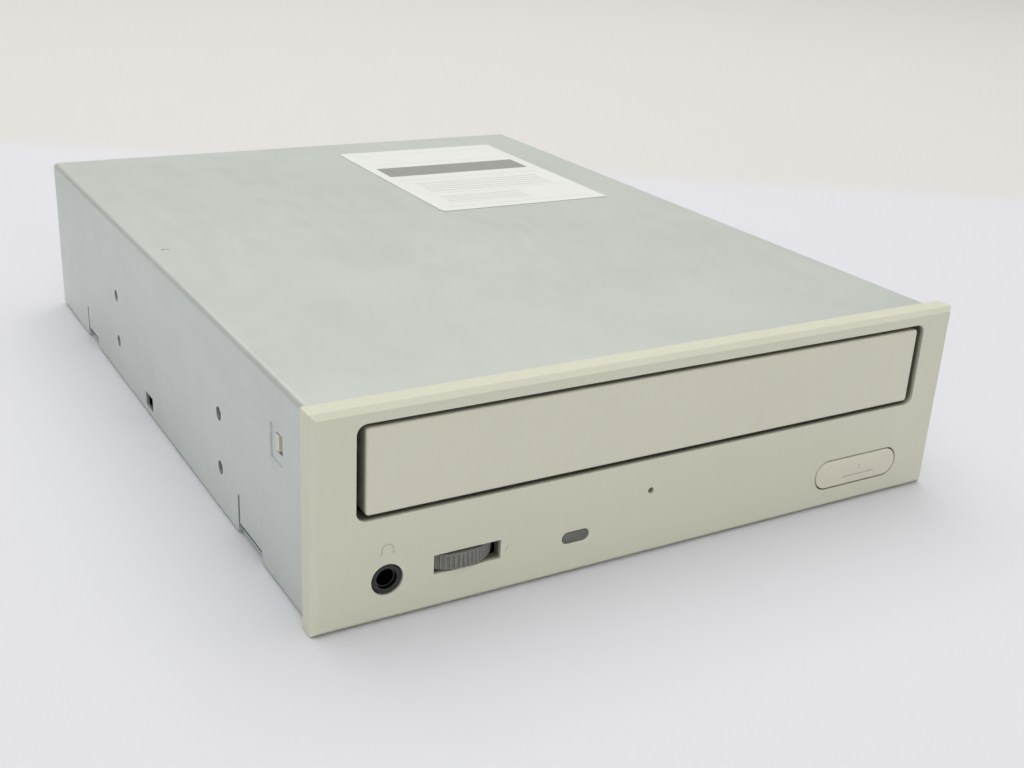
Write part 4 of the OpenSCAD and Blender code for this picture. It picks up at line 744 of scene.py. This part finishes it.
def make_wheel():
    """Volume wheel: a thick disc with rounded rims and a bore. Its rim's radius dips by a rounded notch sixty
    times round, and the notches fade out over the rounded rims."""
    rim, chamfer, notch, crest, trough = 0.35, 0.2, 0.42, 0.7, -0.6
    inner, outer = WHEEL_R - 2.2, WHEEL_R - 1.2
    profile = [(WHEEL_BORE_R, chamfer), (WHEEL_BORE_R + chamfer, 0.0), (inner, 0.0), (outer, 0.0)]
    profile += list(arc((WHEEL_R - rim, rim), rim, -90, 0, 5))
    profile += list(arc((WHEEL_R - rim, WHEEL_T - rim), rim, 0, 90, 5))
    profile += [(outer, WHEEL_T), (inner, WHEEL_T), (WHEEL_BORE_R + chamfer, WHEEL_T),
                (WHEEL_BORE_R, WHEEL_T - chamfer)]

    def notched(radius, points, angle):
        """The radius less the notch's depth, which grows over the rim's rounding."""
        wave = np.clip(np.cos(WHEEL_RIBS * angle), trough, crest)
        dip = notch * (crest - wave) / (crest - trough)
        reach = np.clip((points[:, :1] - (WHEEL_R - rim)) / rim, 0, 1)
        return radius - dip * reach

    piece = revolved("volume_roller", (WHEEL_PLACE[0], WHEEL_PLACE[1], WHEEL_LOW_Z), profile,
                     steps=WHEEL_RIBS * 8, ripple=notched)
    settled(piece, "volume_wheel", "wheel_plastic", "volume_wheel")


def make_jack_lip():
    """Lip of the headphone socket: a ring with a rounded front edge whose inside funnels down to the bore."""
    gap, edge_r, mouth, step = 0.05, 0.35, 0.12, 0.02
    outer, edge_y = JACK_NOSE_R - gap, JACK_LIP_Y + edge_r
    profile = [(outer, JACK_NOSE_Y)]
    profile += list(arc((outer - edge_r, edge_y), edge_r, 0, -90, 5))
    profile += list(arc((outer - 2 * edge_r, edge_y), edge_r, -90, -135, 3))
    profile += [(JACK_BORE_R + mouth, JACK_NOSE_Y - step), (JACK_BORE_R, JACK_NOSE_Y)]
    piece = revolved("jack_lip", (JACK_PLACE[0], 0.0, JACK_PLACE[1]), profile, steps=72, axis="y")
    settled(piece, "drive", "jack_plastic")


def make_lamp_window():
    """Lamp window: a bar with half-round ends through the bezel, its face a low dome."""
    length, height = LAMP_SIZE
    half, dome, edge_r, proud, depth = height / 2, 0.15, 0.2, 0.1, 7.0
    back = BEZEL_FRONT_Y + depth
    stack = [(half, back), (0.0, back)] + domed_face(BEZEL_FRONT_Y - proud, dome, edge_r, half, 4, 5)
    rings = [ring_at(pill_outline(length, height, inset, 12, 8), y, LAMP_PLACE) for inset, y in stack]
    settled(loft("lamp_window", rings), "drive", "lamp_window", "status_lamp_lens")


def make_label():
    """Label: a sheet with round corners on a grid, flat on the case and turned a little. Its edges are lifted
    a hair, by the eighth power of the way from the middle. The print's coordinates run across and back."""
    across, along = 40, 56
    corner, rise, power, under_gap, least = 1.0, 0.03, 8, 0.02, 1e-9
    u, v = np.meshgrid(np.linspace(0, 1, across + 1), np.linspace(0, 1, along + 1), indexing="ij")
    half_w, half_l = LABEL_SIZE[0] / 2, LABEL_SIZE[1] / 2
    x, y = (2 * u - 1) * half_w, (2 * v - 1) * half_l
    over_x = np.clip(np.abs(x) - (half_w - corner), 0, None)
    over_y = np.clip(np.abs(y) - (half_l - corner), 0, None)
    reach = np.hypot(over_x, over_y)
    pull = np.where(reach > corner, corner / np.maximum(reach, least), 1.0)
    x = np.sign(x) * (np.minimum(np.abs(x), half_w - corner) + over_x * pull)
    y = np.sign(y) * (np.minimum(np.abs(y), half_l - corner) + over_y * pull)
    lift = rise * ((x / half_w) ** power + (y / half_l) ** power)
    cos, sin = math.cos(LABEL_TURN), math.sin(LABEL_TURN)
    place_x = x * cos - y * sin + LABEL_MIDDLE[0]
    place_y = x * sin + y * cos + LABEL_MIDDLE[1]
    sheets = [np.stack([place_x, place_y, CASE_TOP_Z + height + lift], axis=-1).reshape(-1, 3)
              for height in (LABEL_T, under_gap)]
    row, column = np.meshgrid(np.arange(across), np.arange(along), indexing="ij")
    width = along + 1
    first = row * width + column
    top = np.stack([first, first + width, first + width + 1, first + 1], axis=-1).reshape(-1, 4)
    count = (across + 1) * width
    under = top[:, ::-1] + count
    rim = np.concatenate([np.arange(across) * width, across * width + np.arange(along),
                          np.arange(across, 0, -1) * width + along, np.arange(along, 0, -1)])
    after = np.roll(rim, -1)
    wall = np.stack([rim, rim + count, after + count, after], axis=-1)
    faces = np.concatenate([top, under, wall])
    flat_uv = np.stack([u, v], axis=-1).reshape(-1, 2)
    uv = np.concatenate([flat_uv, flat_uv])[faces.ravel()]
    piece = shaded(mesh_piece("label_sheet", metres(np.concatenate(sheets)), faces, uv))
    settled(piece, "drive", "label_paper", "label_sticker")


def front_strokes(name, body, slot, strokes, face_y, proud=0.06, sink=0.12):
    """Marks on the front, each a thin bar along a line of points: half the bar's width to each side of the
    line, a little proud of the face and sunk a little into it."""
    shoulder_y, crown_y, sunk_y = face_y - proud * 0.6, face_y - proud, face_y + sink
    section = ((0.0, sunk_y), (0.0, shoulder_y), (0.25, crown_y), (0.75, crown_y), (1.0, shoulder_y),
               (1.0, sunk_y))
    bars = []
    for number, (points, width) in enumerate(strokes):
        line = np.asarray(points, float)
        run = np.gradient(line, axis=0)
        run /= np.linalg.norm(run, axis=1, keepdims=True)
        side = np.stack([-run[:, 1], run[:, 0]], axis=-1) * width / 2
        left, right = line + side, line - side
        rings = np.stack([ring_at(left * (1 - way) + right * way, y) for way, y in section], axis=1)
        ends = [ring.mean(axis=1, keepdims=True) + 0 * ring for ring in (rings[:1], rings[-1:])]
        bars.append(loft(f"{name}_{number}", np.concatenate([ends[0], rings, ends[1]])))
    settled(joined(name, bars), body, slot, finish="mark_plastic")


def make_front_marks():
    """Faint moulded marks: over the socket an arch with a foot at each end, beside the wheel a short slanted
    tick, and on the eject button a short upright tick above a long shallow ridge."""
    thin, broad = 0.22, 0.3
    arch_rise, arch_r, foot_z, foot_in, foot_out = 6.0, 1.15, -0.65, 0.95, 1.6
    x, z = JACK_PLACE[0], JACK_PLACE[1] + arch_rise
    strokes = [(arc((x, z), arch_r, -30, 210, 18), thin)]
    for side in (-1, 1):
        strokes.append(([(x + side * foot_in, z + foot_z), (x + side * foot_out, z + foot_z)], thin))
    tick_x, tick_lean, tick_half = WHEEL_PLACE[0] + 8.9, 0.5, 0.5
    z = WHEEL_LOW_Z + WHEEL_T / 2
    strokes.append(([(tick_x, z - tick_half), (tick_x + tick_lean, z + tick_half)], thin))
    front_strokes("front_marks", "drive", "bezel_plastic", strokes, BEZEL_FRONT_Y)
    tick_low, tick_high, ridge_half, ridge_z = 0.1, 1.2, 4.5, -1.1
    x, z = BUTTON_PLACE[0] + 0.6, BUTTON_PLACE[1]
    strokes = [([(x, z + tick_low), (x, z + tick_high)], broad),
               ([(x - ridge_half, z + ridge_z), (x + ridge_half, z + ridge_z)], broad)]
    front_strokes("eject_mark", "eject_button", "button_plastic", strokes, BEZEL_FRONT_Y - BUTTON_PROUD,
                  proud=0.04, sink=0.2)


softened("top_cover", "drive", "cover_steel", 0.16)
softened("bottom_cover", "drive", "base_steel", 0.14)
softened("front_bezel", "drive", "bezel_plastic", 0.45, segments=4)
softened("disc_tray", "tray", "tray_plastic", 0.25)
make_panel()
make_button()
make_wheel()
make_jack_lip()
make_lamp_window()
make_label()
make_front_marks()


# Stage, light and camera

def make_stage():
    """Floor and backdrop in one: a disc whose height is zero up to a wide radius, then rises on a quarter
    circle into an upright wall. Its paper turns warmer beyond a line behind the drive."""
    flat_r, bend_r, wall, least_r, drop = 3.0, 1.5, 3.0, 0.05, 0.0002
    flat_rings, bend_steps, around = 24, 12, 96
    bend = np.linspace(0, np.pi / 2, bend_steps + 1)[1:]
    run = np.concatenate([np.geomspace(least_r, flat_r, flat_rings), flat_r + bend_r * np.sin(bend),
                          [flat_r + bend_r]])
    rise = np.concatenate([np.zeros(flat_rings), bend_r * (1 - np.cos(bend)), [bend_r + wall]])
    angle = np.linspace(0, 2 * np.pi, around, endpoint=False)
    rings = np.stack([run[:, None] * np.cos(angle), run[:, None] * np.sin(angle),
                      rise[:, None] + 0 * angle], axis=-1)
    rings = np.concatenate([np.zeros((1, around, 3)), rings])
    rings[..., 2] -= drop
    floor = mesh_piece("studio_sweep", rings.reshape(-1, 3), ring_faces(rings.shape[0], around))
    work = bmesh.new()
    work.from_mesh(floor.data)
    bmesh.ops.remove_doubles(work, verts=work.verts, dist=MERGE)
    bmesh.ops.recalc_face_normals(work, faces=work.faces)
    if sum(face.normal.z for face in work.faces) < 0:
        bmesh.ops.reverse_faces(work, faces=work.faces)
    work.to_mesh(floor.data)
    work.free()
    floor.data.shade_smooth()
    made = Finish("studio_paper", Roughness=0.75)
    point = made.object_point()
    away = made.vector("DOT_PRODUCT", point, AWAY_FROM_CAMERA)
    far = made.ramp(away, 0.235, 0.27)
    near_tone = made.mix(made.noise(point, scale=6.0, detail=3.0), tone("E0E0E5"), tone("E4E4E8"))
    made.give("Base Color", made.mix(far, near_tone, tone("E1DEDA")))
    made.bump(made.noise(point, scale=900.0, detail=3.0), 0.01)
    floor.data.materials.append(made.material)


def standing(right, up, back, place):
    """The matrix of an object whose own axes lie along three directions, with its origin at a place."""
    matrix = Matrix.Identity(4)
    for column, direction in enumerate((right, up, back, place)):
        for row in range(3):
            matrix[row][column] = direction[row]
    return matrix


def area_light(name, place, size, power, colour):
    """A square soft light that looks at the origin."""
    light = bpy.data.lights.new(name, "AREA")
    light.size = size
    light.energy = power
    light.color = colour
    lamp = bpy.data.objects.new(name, light)
    bpy.context.scene.collection.objects.link(lamp)
    back = np.array(place) / np.linalg.norm(place)
    across = np.cross((0.0, 0.0, 1.0), back)
    across /= np.linalg.norm(across)
    lamp.matrix_world = standing(across, np.cross(back, across), back, place)


def make_light():
    """A wide soft light above and behind, a weaker one from the left front, and an even pale sky."""
    area_light("overhead", (0.12, 0.5, 1.4), size=1.6, power=9.0, colour=(1.0, 0.995, 0.985))
    area_light("front_fill", (-0.5, -1.2, 0.9), size=1.4, power=3.0, colour=(1.0, 0.99, 0.97))
    world = bpy.data.worlds.new("studio_sky")
    world.use_nodes = True
    sky = world.node_tree.nodes["Background"]
    sky.inputs["Color"].default_value = (0.99, 1.0, 1.0, 1.0)
    sky.inputs["Strength"].default_value = 0.92
    bpy.context.scene.world = world
    bpy.context.scene.view_settings.view_transform = "Standard"
    bpy.context.scene.view_settings.look = "None"


def make_camera():
    """The camera where the photograph's corners put it, with its lens."""
    data = bpy.data.cameras.new("photo_view")
    data.sensor_fit = "HORIZONTAL"
    data.sensor_width = 36.0
    data.lens = 45.427
    data.clip_start = 0.01
    data.clip_end = 50.0
    camera = bpy.data.objects.new("photo_view", data)
    bpy.context.scene.collection.objects.link(camera)
    right = np.array([0.86437, -0.50031, 0.05053])
    up = np.array([0.14904, 0.35086, 0.92449])
    ahead = np.array([0.48027, 0.79157, -0.37784])
    camera.matrix_world = standing(right, up, -ahead, metres([-145.285, -183.838, 127.632]))
    bpy.context.scene.camera = camera


make_stage()
make_light()
make_camera()
